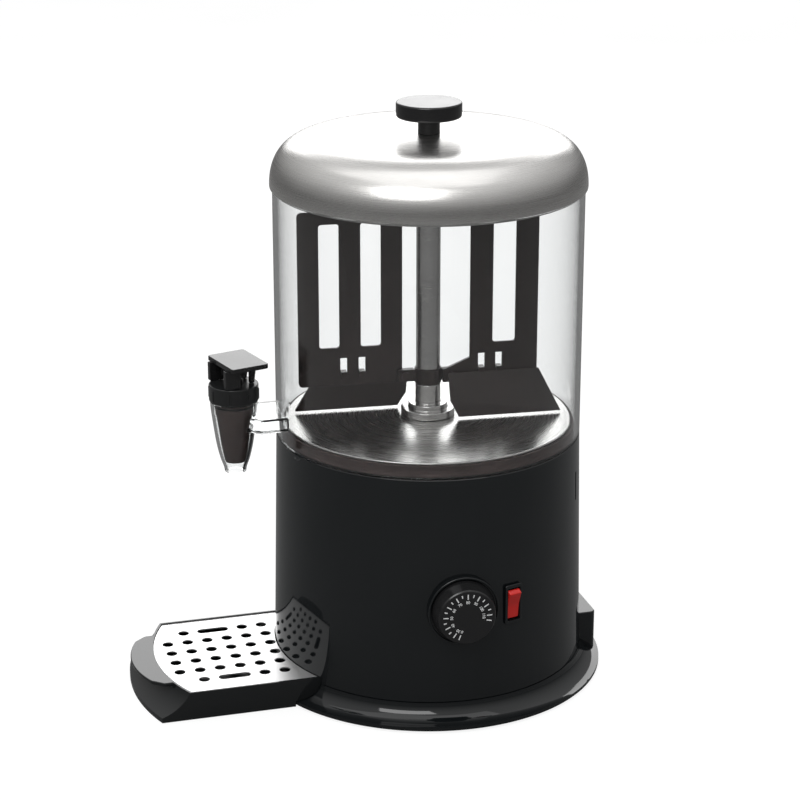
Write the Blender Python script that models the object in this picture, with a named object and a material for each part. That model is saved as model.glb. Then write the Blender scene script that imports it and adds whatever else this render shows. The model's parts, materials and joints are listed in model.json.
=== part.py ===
"""Hot chocolate dispenser: a round heated base, a clear bowl with a tap, an agitator, a lid and a drip tray.

Metres, +Z up. The tap and the tray point to -Y and the controls to +X. The origin is on the floor,
under the middle of the whole machine's box, so the machine's own axis stands AXIS_Y behind it.
Places below are measured from the machine's axis.
"""

import math

import bmesh
import bpy
from mathutils import Vector

# Clearances and overruns
GAP = 0.0003
RUNNING_GAP = 0.0005
SLIDING_GAP = 0.0004
OVERRUN = 0.006
MERGE = 0.000001
SHARP_ANGLE = math.radians(35)

# Sides of round pieces
LARGE_SIDES = 40
TAP_SIDES = 24
SMALL_SIDES = 16
SCREW_SIDES = 10

# Bowl and housing, which the rest of the machine follows
BOWL_RADIUS = 0.1201
BOWL_WALL = 0.0040
BOWL_HEIGHT = 0.1967
BOWL_RIM_ROUND = 0.0006
HOUSING_TOP_HEIGHT = 0.1995
HOUSING_TAPER = 0.0040
HOUSING_WALL = 0.0020
BOWL_INNER = BOWL_RADIUS - BOWL_WALL
BOWL_TOP_HEIGHT = HOUSING_TOP_HEIGHT + GAP + BOWL_HEIGHT
HOUSING_TOP_RADIUS = BOWL_RADIUS
HOUSING_LOW_RADIUS = HOUSING_TOP_RADIUS + HOUSING_TAPER

# Bottom cover and the feet, whose stems hold it
COVER_MARGIN = 0.0056
COVER_RADIUS = HOUSING_LOW_RADIUS - COVER_MARGIN
COVER_LOW = 0.0062
COVER_THICKNESS = 0.0015
COVER_SLOT_COUNT = 8
COVER_SLOT_SHARES = (0.405, 0.6415)
COVER_SLOT_WIDTH = 0.0050
FOOT_INSET = 0.0107
FOOT_CIRCLE_RADIUS = HOUSING_LOW_RADIUS - FOOT_INSET
FOOT_TOP_RADIUS = 0.0088
FOOT_FLOOR_RADIUS = 0.0078
FOOT_STEM_RADIUS = 0.0024
FOOT_BARB = 0.0008
FOOT_BARB_HEIGHT = 0.0024
SCREW_RADIUS = 0.0018
SCREW_HOLE_RADIUS = SCREW_RADIUS + SLIDING_GAP
SCREW_HEAD_RADIUS = 0.0036
SCREW_HEAD_HEIGHT = 0.0016

# Base moulding
BASE_FLARE = 0.0164
BASE_RADIUS = HOUSING_LOW_RADIUS + BASE_FLARE
BASE_RIM_HEIGHT = 0.0015
COVE_FOOT_HEIGHT = 0.0047
COVE_RISE = 0.0130
COVE_TOP_HEIGHT = COVE_FOOT_HEIGHT + COVE_RISE
COVE_STEPS = 4
BASE_WALL = 0.0025
LEDGE_RING_RISE = 0.0093
LEDGE_RING_HEIGHT = COVE_TOP_HEIGHT + LEDGE_RING_RISE
LEDGE_RING_WALL = 0.0024
FLANGE_WIDTH = 0.0161
FLANGE_THICKNESS = 0.0028
FLANGE_INNER_RADIUS = HOUSING_LOW_RADIUS - FLANGE_WIDTH
FLANGE_LOW = COVER_LOW + COVER_THICKNESS + GAP
FLANGE_HIGH = FLANGE_LOW + FLANGE_THICKNESS
CABLE_BOX_HALF_WIDTH = 0.0360
CABLE_BOX_INSET = 0.0070
CABLE_BOX_REACH = BASE_RADIUS - CABLE_BOX_INSET
CABLE_BOX_LOW = 0.0045
CABLE_BOX_HEIGHT = 0.0380
CABLE_BOX_BEVEL = 0.0030
CABLE_DROP = 0.0140
CABLE_HEIGHT = CABLE_BOX_HEIGHT - CABLE_DROP
CABLE_BORE_RADIUS = 0.0063
GLAND_FLANGE_WIDTH = 0.0032
GLAND_FLANGE_RADIUS = CABLE_BORE_RADIUS + GLAND_FLANGE_WIDTH
GLAND_FLANGE = 0.0028
GLAND_TUBE_LENGTH = 0.0080
GLAND_WALL = 0.0023
GLAND_BORE_RADIUS = CABLE_BORE_RADIUS - GAP - GLAND_WALL


def housing_radius(height):
    """The housing's outer radius, which draws in a little towards the top."""
    share = (height - COVE_TOP_HEIGHT) / (HOUSING_TOP_HEIGHT - COVE_TOP_HEIGHT)
    return HOUSING_LOW_RADIUS - HOUSING_TAPER * share


# Shelf, deck and vents of the housing
SHELF_WIDTH = 0.0050
SHELF_THICKNESS = 0.0020
DECK_SINK = 0.0011
DECK_THICKNESS = 0.0030
DECK_TOP_HEIGHT = HOUSING_TOP_HEIGHT - DECK_SINK
VENT_COUNT = 7
VENT_ARC = math.radians(64)
VENT_DROP = 0.0255
VENT_LENGTH = 0.0240
VENT_WIDTH = 0.0032
VENT_HIGH = HOUSING_TOP_HEIGHT - VENT_DROP
VENT_LOW = VENT_HIGH - VENT_LENGTH

# Thermostat and its dial, on the housing's face
DIAL_TURN = math.radians(-3.5)
DIAL_HEIGHT = 0.0944
DIAL_SEAT = housing_radius(DIAL_HEIGHT)
BEZEL_RADIUS = 0.0278
BEZEL_WALL = 0.0018
BEZEL_SHEET = 0.0015
BEZEL_LIP = 0.0023
BEZEL_FLOOR = DIAL_SEAT + BEZEL_SHEET
BEZEL_RIM = BEZEL_FLOOR + BEZEL_LIP
DIAL_SIDE_GAP = 0.0008
DIAL_DRAFT = 0.0030
DIAL_EDGE = 0.0010
DIAL_THICKNESS = 0.0137
KNOB_BACK = BEZEL_FLOOR + SLIDING_GAP
DIAL_FACE = KNOB_BACK + DIAL_THICKNESS
DIAL_BACK_RADIUS = BEZEL_RADIUS - BEZEL_WALL - DIAL_SIDE_GAP
DIAL_FRONT_RADIUS = DIAL_BACK_RADIUS - DIAL_DRAFT
DIAL_FACE_RADIUS = DIAL_FRONT_RADIUS - DIAL_EDGE
DIAL_FACE_WALL = 0.0040
SPINDLE_RADIUS = 0.0030
SPINDLE_DEPTH = 0.0124
SPINDLE_BACK = DIAL_SEAT - SPINDLE_DEPTH
SPINDLE_FRONT = DIAL_FACE - DIAL_FACE_WALL
NECK_WALL = 0.0014
NECK_RADIUS = SPINDLE_RADIUS + GAP + NECK_WALL
NECK_SINK = 0.0006
NECK_FRONT = DIAL_SEAT - NECK_SINK
THERMOSTAT_RADIUS = 0.0170
THERMOSTAT_DEPTH = 0.0200
THERMOSTAT_NECK = 0.0138
THERMOSTAT_FRONT = NECK_FRONT - THERMOSTAT_NECK
THERMOSTAT_BACK = THERMOSTAT_FRONT - THERMOSTAT_DEPTH
THERMOSTAT_TAB_HALF = 0.0030

# Rocker switch, on the housing's face
ROCKER_TURN = math.radians(15.9)
ROCKER_HEIGHT = 0.0930
ROCKER_SEAT = housing_radius(ROCKER_HEIGHT)
ROCKER_FRAME_HALF = (0.0077, 0.0162)
ROCKER_BORDER = (0.0008, 0.0015)
ROCKER_WALL = (0.0012, 0.0013)
ROCKER_BODY_HALF = (ROCKER_FRAME_HALF[0] - ROCKER_BORDER[0], ROCKER_FRAME_HALF[1] - ROCKER_BORDER[1])
ROCKER_CAVITY_HALF = (ROCKER_BODY_HALF[0] - ROCKER_WALL[0], ROCKER_BODY_HALF[1] - ROCKER_WALL[1])
ROCKER_FRAME_ROUND = 0.0015
ROCKER_FRAME_LIFT = 0.00066
ROCKER_FRAME_THICKNESS = 0.0017
ROCKER_BODY_DEPTH = 0.0184
ROCKER_CAVITY_DEPTH = 0.0094
ROCKER_PIVOT_DEPTH = 0.0039
ROCKER_FRAME_BACK = ROCKER_SEAT + ROCKER_FRAME_LIFT
ROCKER_FRAME_FRONT = ROCKER_FRAME_BACK + ROCKER_FRAME_THICKNESS
ROCKER_BODY_BACK = ROCKER_SEAT - ROCKER_BODY_DEPTH
ROCKER_CAVITY_BACK = ROCKER_SEAT - ROCKER_CAVITY_DEPTH
ROCKER_PIVOT = ROCKER_SEAT - ROCKER_PIVOT_DEPTH
ROCKER_KEY_HALF_WIDTH = ROCKER_CAVITY_HALF[0] - SLIDING_GAP
ROCKER_SWEEP = ROCKER_CAVITY_HALF[1] - SLIDING_GAP
ROCKER_CORNER_ANGLE = math.radians(32)
ROCKER_SIDE_ANGLE = math.radians(12)
ROCKER_MIDDLE_SHARE = 0.446
ROCKER_ROOT_SHARES = (0.538, 0.246)
ROCKER_REST = math.radians(11)
TERMINAL_SIZE = (0.0063, 0.0008, 0.0080)
TERMINAL_PITCH = 0.0090

# Heating pan, its seal and what is under it
PAN_SEAL_WIDTH = 0.0031
PAN_RISE = 0.0129
PAN_THICKNESS = 0.0010
PAN_RADIUS = BOWL_INNER - PAN_SEAL_WIDTH
PAN_TOP_HEIGHT = DECK_TOP_HEIGHT + PAN_RISE
SEAL_LIP_DROP = 0.0015
SEAL_LIP_HEIGHT = PAN_TOP_HEIGHT - SEAL_LIP_DROP
SEAL_GROOVE_DEPTH = 0.0009
DECK_BORE_SHARE = 0.398
DECK_BORE_RADIUS = PAN_RADIUS * DECK_BORE_SHARE
DECK_RIM = 0.0019
DECK_RIM_HEIGHT = DECK_TOP_HEIGHT + DECK_RIM
HEATER_SHARES = (0.425, 0.761)
HEATER_INNER_RADIUS = PAN_RADIUS * HEATER_SHARES[0]
HEATER_OUTER_RADIUS = PAN_RADIUS * HEATER_SHARES[1]
HEATER_THICKNESS = 0.0060
HEATER_PIN_RADIUS = 0.0020
HEATER_PIN_ROOM = 0.0014
HEATER_PIN_ANGLE = math.radians(12)
CUTOUT_RADIUS = 0.0070
CUTOUT_THICKNESS = 0.0060
CUTOUT_MARGIN = 0.0050
CUTOUT_PLACE = DECK_BORE_RADIUS - CUTOUT_RADIUS - CUTOUT_MARGIN
BULB_CIRCLE_RADIUS = (THERMOSTAT_BACK + THERMOSTAT_FRONT) / 2
BULB_RADIUS = 0.0024
CAPILLARY_RADIUS = 0.0009
BULB_ARC = math.radians(42)
CAPILLARY_HOLE_RADIUS = 0.0030

# Shaft and riser in the middle of the pan, from the shaft outward
DRIVE_SHAFT_RADIUS = 0.0048
DRIVE_SHAFT_FLAT_SHARE = 0.75
DRIVE_SHAFT_FLAT = DRIVE_SHAFT_RADIUS * DRIVE_SHAFT_FLAT_SHARE
BUSH_WALL = 0.0020
RISER_BORE_RADIUS = DRIVE_SHAFT_RADIUS + BUSH_WALL + 2 * GAP
RISER_WALL = 0.0020
RISER_TAIL_RADIUS = RISER_BORE_RADIUS + RISER_WALL
RISER_SLEEVE_STEP = 0.0006
RISER_SLEEVE_RADIUS = RISER_TAIL_RADIUS + RISER_SLEEVE_STEP
RISER_STEP_WIDTH = 0.0055
RISER_STEP_RADIUS = RISER_SLEEVE_RADIUS + RISER_STEP_WIDTH
RISER_FLANGE_WIDTH = 0.0057
RISER_FLANGE_RADIUS = RISER_STEP_RADIUS + RISER_FLANGE_WIDTH
RISER_FLANGE_RISE = 0.0059
RISER_STEP_RISE = 0.0042
RISER_SLEEVE_RISE = 0.0156
RISER_FLANGE_TOP = PAN_TOP_HEIGHT + RISER_FLANGE_RISE
RISER_STEP_TOP = RISER_FLANGE_TOP + RISER_STEP_RISE
RISER_SLEEVE_TOP = RISER_STEP_TOP + RISER_SLEEVE_RISE
RISER_TAIL_LENGTH = 0.0123
RISER_TAIL_LOW = PAN_TOP_HEIGHT - RISER_TAIL_LENGTH
RISER_CHAMFER = 0.0008
PAN_BORE_RADIUS = RISER_TAIL_RADIUS + SLIDING_GAP
NUT_WALL = 0.0043
NUT_ACROSS = 2 * (RISER_TAIL_RADIUS + GAP + NUT_WALL)
NUT_THICKNESS = 0.0060
BUSH_LENGTH = 0.0100
SHAFT_SEAL_LENGTH = 0.0050

# Gear motor, its bracket and the coupling
BRACKET_DROP = 0.0484
BRACKET_HEIGHT = DECK_TOP_HEIGHT - BRACKET_DROP
BRACKET_THICKNESS = 0.0020
BRACKET_HALF_SPAN = 0.0540
BRACKET_HALF_WIDTH = 0.0250
BRACKET_EAR = 0.0160
BRACKET_SCREW_SHARE = 0.5625
BRACKET_SCREW_PLACE = BRACKET_HALF_SPAN + BRACKET_EAR * BRACKET_SCREW_SHARE
GEARBOX_RADIUS = 0.0300
GEARBOX_DEPTH = 0.0220
GEARBOX_LOW = BRACKET_HEIGHT - GEARBOX_DEPTH
GEARBOX_BOSS_RADIUS = 0.0110
GEARBOX_BOSS_RISE = 0.0040
GEARBOX_BOSS_TOP = BRACKET_HEIGHT + GEARBOX_BOSS_RISE
MOTOR_RADIUS = 0.0270
MOTOR_DEPTH = 0.0320
MOTOR_LOW = GEARBOX_LOW - MOTOR_DEPTH
MOTOR_CHAMFER = 0.0020
MOTOR_SHAFT_RADIUS = 0.0038
MOTOR_SHAFT_DEPTH = 0.0100
MOTOR_SHAFT_LOW = BRACKET_HEIGHT - MOTOR_SHAFT_DEPTH
COUPLING_FLOAT = 0.0030
COUPLING_GRIP = 0.0130
COUPLING_HOLD = 0.0120
COUPLING_WALL = 0.0039
COUPLING_RADIUS = DRIVE_SHAFT_RADIUS + GAP + COUPLING_WALL
COUPLING_LOW = GEARBOX_BOSS_TOP + COUPLING_FLOAT
DRIVE_SHAFT_LOW = COUPLING_LOW + COUPLING_GRIP
COUPLING_TOP = DRIVE_SHAFT_LOW + COUPLING_HOLD

# Agitator
AGITATOR_TURN = math.radians(-4.5)
TUBE_RADIUS = 0.0094
TUBE_WALL = 0.0014
HUB_WALL = 0.0012
HUB_RADIUS = TUBE_RADIUS + HUB_WALL
HUB_HEIGHT = 0.0121
HUB_LOW = RISER_SLEEVE_TOP + RUNNING_GAP
HUB_HIGH = HUB_LOW + HUB_HEIGHT
SHAFT_RISE = 0.0204
DRIVE_SHAFT_TOP = HUB_HIGH + SHAFT_RISE
FLAT_LOW = HUB_LOW - GAP
LUG_THICKNESS = 0.0040
LUG_REACH = 0.0240
LUG_STEP = 0.0012
LUG_LOW = HUB_LOW + LUG_STEP
LUG_HIGH = HUB_HIGH - LUG_STEP
TUBE_DROP = 0.0095
TUBE_TOP = BOWL_TOP_HEIGHT - TUBE_DROP
TUBE_CAP_HEIGHT = 0.0030
TUBE_PLUG_LENGTH = 0.0060
PADDLE_THICKNESS = 0.0026
PADDLE_OFFSET = 0.0040
PADDLE_FOOT_DROP = 0.0015
PADDLE_TOP_DROP = 0.0185
PADDLE_LOW = HUB_LOW - PADDLE_FOOT_DROP
PADDLE_TOP = BOWL_TOP_HEIGHT - PADDLE_TOP_DROP
PADDLE_BRIDGE = 0.0100
PADDLE_SLOT_RISE = 0.0310
PADDLE_SLOT_LOW = HUB_LOW + PADDLE_SLOT_RISE
PADDLE_SLOT_ROUND = 0.0020
PADDLE_CORNER = 0.0030
WIDE_BAR_SHARES = ((0.1731, 0.3170), (0.4565, 0.6003), (0.7373, 0.8786))
WIDE_TAB_SHARES = (0.4479, 0.5728)
NARROW_BAR_SHARES = ((0.2799, 0.4367), (0.5952, 0.7519))
NARROW_TAB_SHARES = (0.3618, 0.4823)
ARM_RISE = 0.0105
NARROW_ARM_RISE = 0.0195
ARM_HIGH = HUB_LOW + ARM_RISE
NARROW_ARM_HIGH = HUB_LOW + NARROW_ARM_RISE
TAB_SLOT_WIDTH = 0.0056
TAB_SLOT_RISE = 0.0093
TAB_SLOT_HEIGHT = 0.0132
TAB_SLOT_LOW = HUB_LOW + TAB_SLOT_RISE
TAB_SLOT_HIGH = TAB_SLOT_LOW + TAB_SLOT_HEIGHT
RIVET_INSET = 0.0060
RIVET_PLACE = LUG_REACH - RIVET_INSET
RIVET_HEIGHT = (LUG_LOW + LUG_HIGH) / 2
RIVET_RADIUS = 0.0020
RIVET_HEAD_RADIUS = 0.0034
RIVET_HEAD_HEIGHT = 0.0012

# Scraper blades
BLADE_THICKNESS = 0.0022
BLADE_TOP_RISE = 0.0075
BLADE_PAN_GAP = 0.0013
BLADE_TOP_HEIGHT = HUB_LOW + BLADE_TOP_RISE
BLADE_FOOT_HEIGHT = PAN_TOP_HEIGHT + BLADE_PAN_GAP
BLADE_FOOT_OFFSET = 0.0185
BLADE_TOP_SHARES = (0.1292, 0.7580)
BLADE_FOOT_SHARES = (0.1809, 0.8915)
BLADE_CHAMFER_SHARE = 0.62
HOOK_SIDE_GAP = 0.0006
HOOK_WIDTH = TAB_SLOT_WIDTH - 2 * HOOK_SIDE_GAP
HOOK_THICKNESS = 0.0019
HOOK_DROP = 0.0036

# Tap: the duct, the bullet, its neck and the collar
TAP_STAND_OFF = 0.0359
TAP_REACH = BOWL_RADIUS + TAP_STAND_OFF
TAP_RADIUS = 0.0185
TAP_DEPTH = 0.0580
TAP_WALL = 0.0025
TAP_PROFILE_SHARES = (
    (1.0, 0.0),
    (0.973, 0.130),
    (0.886, 0.353),
    (0.773, 0.603),
    (0.632, 0.802),
    (0.486, 0.940),
    (0.454, 1.0),
)
DUCT_RISE = 0.0140
DUCT_HEIGHT = 0.0115
DUCT_LOW = HOUSING_TOP_HEIGHT + DUCT_RISE
DUCT_HIGH = DUCT_LOW + DUCT_HEIGHT
DUCT_HALF_WIDTH = 0.0220
DUCT_WALL = 0.0021
DUCT_SIDE_WALL = 0.0030
DUCT_STRAIGHT_SHARE = 0.919
DUCT_NOSE_SHARES = (0.757, 0.324)
CHANNEL_NOSE_SHARES = (0.595, 0.432)
DUCT_STRAIGHT_END = TAP_REACH - TAP_RADIUS * DUCT_STRAIGHT_SHARE
TAP_SHOULDER_RISE = 0.0115
TAP_SHOULDER_HEIGHT = DUCT_HIGH + TAP_SHOULDER_RISE
TAP_NECK_STEP = 0.0013
TAP_NECK_WALL = 0.0020
TAP_NECK_HEIGHT = 0.0070
TAP_NECK_RADIUS = TAP_RADIUS - TAP_NECK_STEP
TAP_NECK_TOP = TAP_SHOULDER_HEIGHT + TAP_NECK_HEIGHT
TAP_BORE_RADIUS = TAP_NECK_RADIUS - TAP_NECK_WALL
TAP_BORE_DEPTH = 0.0085
TAP_BORE_LOW = TAP_SHOULDER_HEIGHT - TAP_BORE_DEPTH
TAP_OUTLET_HEIGHT = TAP_SHOULDER_HEIGHT - TAP_DEPTH
COLLAR_OVERHANG = 0.0014
COLLAR_RADIUS = TAP_RADIUS + COLLAR_OVERHANG
COLLAR_HEADROOM = 0.0038
COLLAR_ROOF = 0.0027
COLLAR_CEILING = TAP_NECK_TOP + COLLAR_HEADROOM
COLLAR_TOP = COLLAR_CEILING + COLLAR_ROOF
COLLAR_CHAMFER = 0.0015
COLLAR_RIB_COUNT = 8
COLLAR_RIB_WIDTH = 0.0022
COLLAR_RIB_HEIGHT = 0.0007

# Stem, pin, spring and plug of the tap, from the stem outward
STEM_RADIUS = 0.0040
COLLAR_BOSS_WALL = 0.0031
COLLAR_BOSS_RADIUS = STEM_RADIUS + GAP + COLLAR_BOSS_WALL
COLLAR_BOSS_RISE = 0.0045
COLLAR_BOSS_TOP = COLLAR_TOP + COLLAR_BOSS_RISE
STEM_SINK = 0.0100
STEM_HEAD_STEP = 0.0010
STEM_HEAD_RADIUS = STEM_RADIUS + STEM_HEAD_STEP
STEM_HEAD_HALF_WIDTH = 0.0045
STEM_HEAD_LOW = COLLAR_BOSS_TOP + RUNNING_GAP
PIN_RISE = 0.0090
PIN_HEIGHT = COLLAR_TOP + PIN_RISE
PIN_RADIUS = 0.0015
PIN_END_GAP = 0.0002
SPRING_CLEARANCE = 0.0020
SPRING_WIRE_RADIUS = 0.0004
SPRING_RADIUS = STEM_RADIUS + SPRING_CLEARANCE + SPRING_WIRE_RADIUS
SPRING_TURNS = 4
SPRING_STEPS = 10
PLUG_BORE_SLACK = 0.0008
PLUG_SLACK = 0.0014
PLUG_SLACK_SHARES = (1.0, 0.8, 0.45)
PLUG_TOP_SINK = 0.0005
PLUG_STRAIGHT = 0.0070
PLUG_END_SHARE = 0.853
PLUG_TOP = TAP_SHOULDER_HEIGHT - PLUG_TOP_SINK
PLUG_RADIUS = TAP_BORE_RADIUS - PLUG_BORE_SLACK
PLUG_STRAIGHT_LOW = PLUG_TOP - PLUG_STRAIGHT
PLUG_GROOVE_SINK = 0.0030
PLUG_GROOVE_HEIGHT = PLUG_TOP - PLUG_GROOVE_SINK
PLUG_GROOVE_DEPTH = 0.0012
PLUG_GROOVE_HALF = 0.0011
RING_OUTER_RADIUS = TAP_BORE_RADIUS - GAP
STEM_LOW = PLUG_TOP - STEM_SINK

# Lever of the tap
LEVER_TURN = math.radians(15)
PAD_LENGTH = 0.0434
PAD_WIDTH = 0.0314
PAD_OFFSET = 0.0043
PAD_THICKNESS = 0.0038
PAD_RISE = 0.0094
PAD_TOP_HEIGHT = PIN_HEIGHT + PAD_RISE
PAD_CORNER = 0.0024
CHEEK_THICKNESS = 0.0030
CHEEK_INNER = STEM_HEAD_HALF_WIDTH + SLIDING_GAP
CHEEK_OUTER = CHEEK_INNER + CHEEK_THICKNESS
CHEEK_LAP = 0.0008
CHEEK_MIDDLE_HALF = 0.0065
CHEEK_MIDDLE_LOW = COLLAR_BOSS_TOP + 2 * RUNNING_GAP
CHEEK_SLOPE = 0.0019
CHEEK_NOTCH_RISE = 0.0038
CHEEK_NOTCH_HEIGHT = PIN_HEIGHT + CHEEK_NOTCH_RISE
LEG_TOP_SPAN = (0.0104, 0.0163)
LEG_TIP_SPAN = (0.0104, 0.0141)
SIDE_INNER = 0.0115
SIDE_OUTER = 0.0155
SIDE_SPAN = (-0.0142, -0.0012)
SIDE_ROUND = 0.0016
PIN_HALF_LENGTH = CHEEK_OUTER - PIN_END_GAP

# Lid
LID_OVERHANG = 0.0021
LID_RIM = 0.0014
LID_RISE = 0.0383
LID_RADIUS = BOWL_RADIUS + LID_OVERHANG
LID_RIM_HEIGHT = BOWL_TOP_HEIGHT + GAP
LID_SHOULDER_HEIGHT = LID_RIM_HEIGHT + LID_RIM
LID_TOP_HEIGHT = LID_SHOULDER_HEIGHT + LID_RISE
LID_SHEET = 0.0010
LID_RIM_POWER = 8.0
LID_RISE_POWER = 2.13
LID_STEPS = 6
LID_LIP_RADIUS = BOWL_INNER - RUNNING_GAP
LID_LIP_DROP = 0.0028
KNOB_SCREW_RADIUS = 0.0025
KNOB_SCREW_HEAD_RADIUS = 0.0050
KNOB_SCREW_HEAD_HEIGHT = 0.0018
KNOB_STEM_HEIGHT = 0.0128
KNOB_HEIGHT = 0.0117
KNOB_BITE_SHARE = 0.84
LID_BORE_RADIUS = KNOB_SCREW_RADIUS + RUNNING_GAP
KNOB_RADIUS = 0.0253
KNOB_LOW = LID_TOP_HEIGHT + KNOB_STEM_HEIGHT
KNOB_TOP = KNOB_LOW + KNOB_HEIGHT
KNOB_ROUND = 0.0018
KNOB_STEM_RADIUS = 0.0085

# Drip tray and its grid
TRAY_TOP_HEIGHT = 0.0245
TRAY_LIFT = 0.0005
TRAY_HALF_WIDTH = 0.0663
TRAY_DRAFT = 0.0020
TRAY_FOOT_HALF_WIDTH = TRAY_HALF_WIDTH - TRAY_DRAFT
TRAY_FOOT_LENGTHS = (0.1029, 0.0908)
TRAY_SET_BACKS = (0.0178, 0.0221)
TRAY_FOOT_REACH = (BASE_RADIUS + TRAY_FOOT_LENGTHS[0], BASE_RADIUS + TRAY_FOOT_LENGTHS[1])
TRAY_TOP_REACH = (TRAY_FOOT_REACH[0] - TRAY_SET_BACKS[0], TRAY_FOOT_REACH[1] - TRAY_SET_BACKS[1])
TRAY_FOOT_HEIGHT = 0.0045
TRAY_COVE_BOW = 0.0029
TRAY_COVE_STEPS = 5
TRAY_ARC_STEPS = 10
TRAY_BACK_SHARE = 0.64
TRAY_SKIRT_GAP = 0.0005
TRAY_HOUSING_GAP = 0.0004
TRAY_RIM = 0.0013
TRAY_WALL = 0.0034
TRAY_BACK_WALL = 0.0025
TRAY_FLOOR = 0.0028
LIP_HALF_WIDTH = 0.0450
LIP_BEND_HALF_WIDTH = 0.0375
LIP_BEND_SET_BACK = 0.0089
LIP_SIDE_SET_BACK = 0.0179
LIP_ROOT_SET_BACK = 0.0314
LIP_BEND_REACH = TRAY_FOOT_REACH[0] - LIP_BEND_SET_BACK
LIP_SIDE_REACH = TRAY_FOOT_REACH[0] - LIP_SIDE_SET_BACK
LIP_ROOT_REACH = TRAY_FOOT_REACH[0] - LIP_ROOT_SET_BACK
LIP_THICKNESS = 0.0030
NOSE_POCKET_HEIGHT = 0.0030
NOSE_POCKET_WALL = 0.0035
GRID_SINK = 0.0010
GRID_TOP_HEIGHT = TRAY_TOP_HEIGHT - GRID_SINK
GRID_THICKNESS = 0.0010
GRID_HOLE_RADIUS = 0.0044
GRID_HOLE_SIDES = 9
GRID_COLUMN_PITCH = 0.0161
GRID_ROW_PITCH = 0.0175
GRID_FRONT_MARGIN = 0.0158
GRID_FRONT_HOLE = TRAY_TOP_REACH[0] - GRID_FRONT_MARGIN
GRID_COLUMNS = 6
GRID_ROWS = 6
GRID_SLOT_LENGTH = 0.0256
GRID_SLOT_WIDTH = 0.0080

# Terminal block on the bottom cover
BLOCK_SIZE = (0.0400, 0.0140, 0.0150)
BLOCK_PLACE_SHARE = 0.574
BLOCK_PLACE = (0, COVER_RADIUS * BLOCK_PLACE_SHARE)
BLOCK_SCREW_RADIUS = 0.0022

# The machine's axis stands this far behind the middle of its box
AXIS_Y = (TRAY_FOOT_REACH[0] - BASE_RADIUS) / 2

# Colours, roughness and metal of the materials
FINISHES = {
    "gloss_black": ((0.012, 0.013, 0.014), 0.08, 0.0),
    "satin_black": ((0.020, 0.021, 0.022), 0.38, 0.0),
    "dark_brown": ((0.045, 0.036, 0.033), 0.42, 0.0),
    "mauve_rubber": ((0.110, 0.080, 0.076), 0.55, 0.0),
    "steel": ((0.70, 0.69, 0.67), 0.24, 1.0),
    "dull_steel": ((0.48, 0.48, 0.48), 0.42, 1.0),
    "brass": ((0.72, 0.53, 0.26), 0.35, 1.0),
    "rubber": ((0.025, 0.025, 0.025), 0.80, 0.0),
    "red": ((0.75, 0.02, 0.02), 0.25, 0.0),
    "cream": ((0.72, 0.68, 0.60), 0.50, 0.0),
    "clear": ((0.90, 0.93, 0.93), 0.04, 0.0),
}


def clear_scene():
    """Removes every object that the file opens with."""
    for obj in list(bpy.data.objects):
        bpy.data.objects.remove(obj, do_unlink=True)


def material(finish):
    """The material of this name, made once."""
    found = bpy.data.materials.get(finish)
    if found:
        return found
    colour, roughness, metallic = FINISHES[finish]
    made = bpy.data.materials.new(finish)
    made.use_nodes = True
    shader = made.node_tree.nodes["Principled BSDF"]
    shader.inputs["Base Color"].default_value = (*colour, 1.0)
    shader.inputs["Roughness"].default_value = roughness
    shader.inputs["Metallic"].default_value = metallic
    if finish == "clear":
        shader.inputs["Transmission Weight"].default_value = 1.0
    return made


def frame(name, place=(0, 0, 0), rotation=(0, 0, 0), parent=None):
    """An empty that carries the pieces of one body, or of one side of the machine."""
    empty = bpy.data.objects.new(name, None)
    bpy.context.scene.collection.objects.link(empty)
    empty.location = place
    empty.rotation_euler = rotation
    empty.parent = parent
    return empty


def outward(angle):
    """The turn of a frame whose Z points out of the machine at this angle, with Y up."""
    return (math.pi / 2, 0, math.pi / 2 + angle)


def finish_object(name, bm, finish, parent):
    """Turns a mesh under construction into a named object with its material."""
    bmesh.ops.remove_doubles(bm, verts=bm.verts, dist=MERGE)
    bmesh.ops.recalc_face_normals(bm, faces=bm.faces)
    mesh = bpy.data.meshes.new(name)
    bm.to_mesh(mesh)
    bm.free()
    mesh.shade_smooth()
    mesh.set_sharp_from_angle(angle=SHARP_ANGLE)
    obj = bpy.data.objects.new(name, mesh)
    bpy.context.scene.collection.objects.link(obj)
    obj.parent = parent
    if finish:
        mesh.materials.append(material(finish))
    else:
        obj.hide_render = True
        obj.display_type = "WIRE"
    return obj


def combine(target, tool, operation):
    """Cuts the tool out of the target, or joins it on."""
    modifier = target.modifiers.new(tool.name, "BOOLEAN")
    modifier.operation = operation
    modifier.solver = "EXACT"
    modifier.object = tool
    return target


def cut(target, *tools):
    for tool in tools:
        combine(target, tool, "DIFFERENCE")
    return target


def fuse(target, *tools):
    for tool in tools:
        combine(target, tool, "UNION")
    return target


def add_spun(bm, outline, sides, centre=(0, 0)):
    """Spins an outline of (radius, height) points round the vertical line through the centre."""
    verts = [bm.verts.new((centre[0] + radius, centre[1], height)) for radius, height in outline]
    edges = []
    for i, (radius, height) in enumerate(outline):
        if radius > 0 or outline[i - 1][0] > 0:
            edges.append(bm.edges.new((verts[i - 1], verts[i])))
    bmesh.ops.spin(
        bm,
        geom=verts + edges,
        cent=(centre[0], centre[1], 0),
        axis=(0, 0, 1),
        angle=2 * math.pi,
        steps=sides,
        use_merge=True,
    )


def spun(name, outline, sides, finish, parent, centre=(0, 0)):
    bm = bmesh.new()
    add_spun(bm, outline, sides, centre)
    return finish_object(name, bm, finish, parent)


def spun_set(name, outline, sides, finish, parent, centres):
    """The same turned shape at several places, as one tool."""
    bm = bmesh.new()
    for centre in centres:
        add_spun(bm, outline, sides, centre)
    return finish_object(name, bm, finish, parent)


def disc(radius, low, high):
    return [(0, low), (radius, low), (radius, high), (0, high)]


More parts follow.
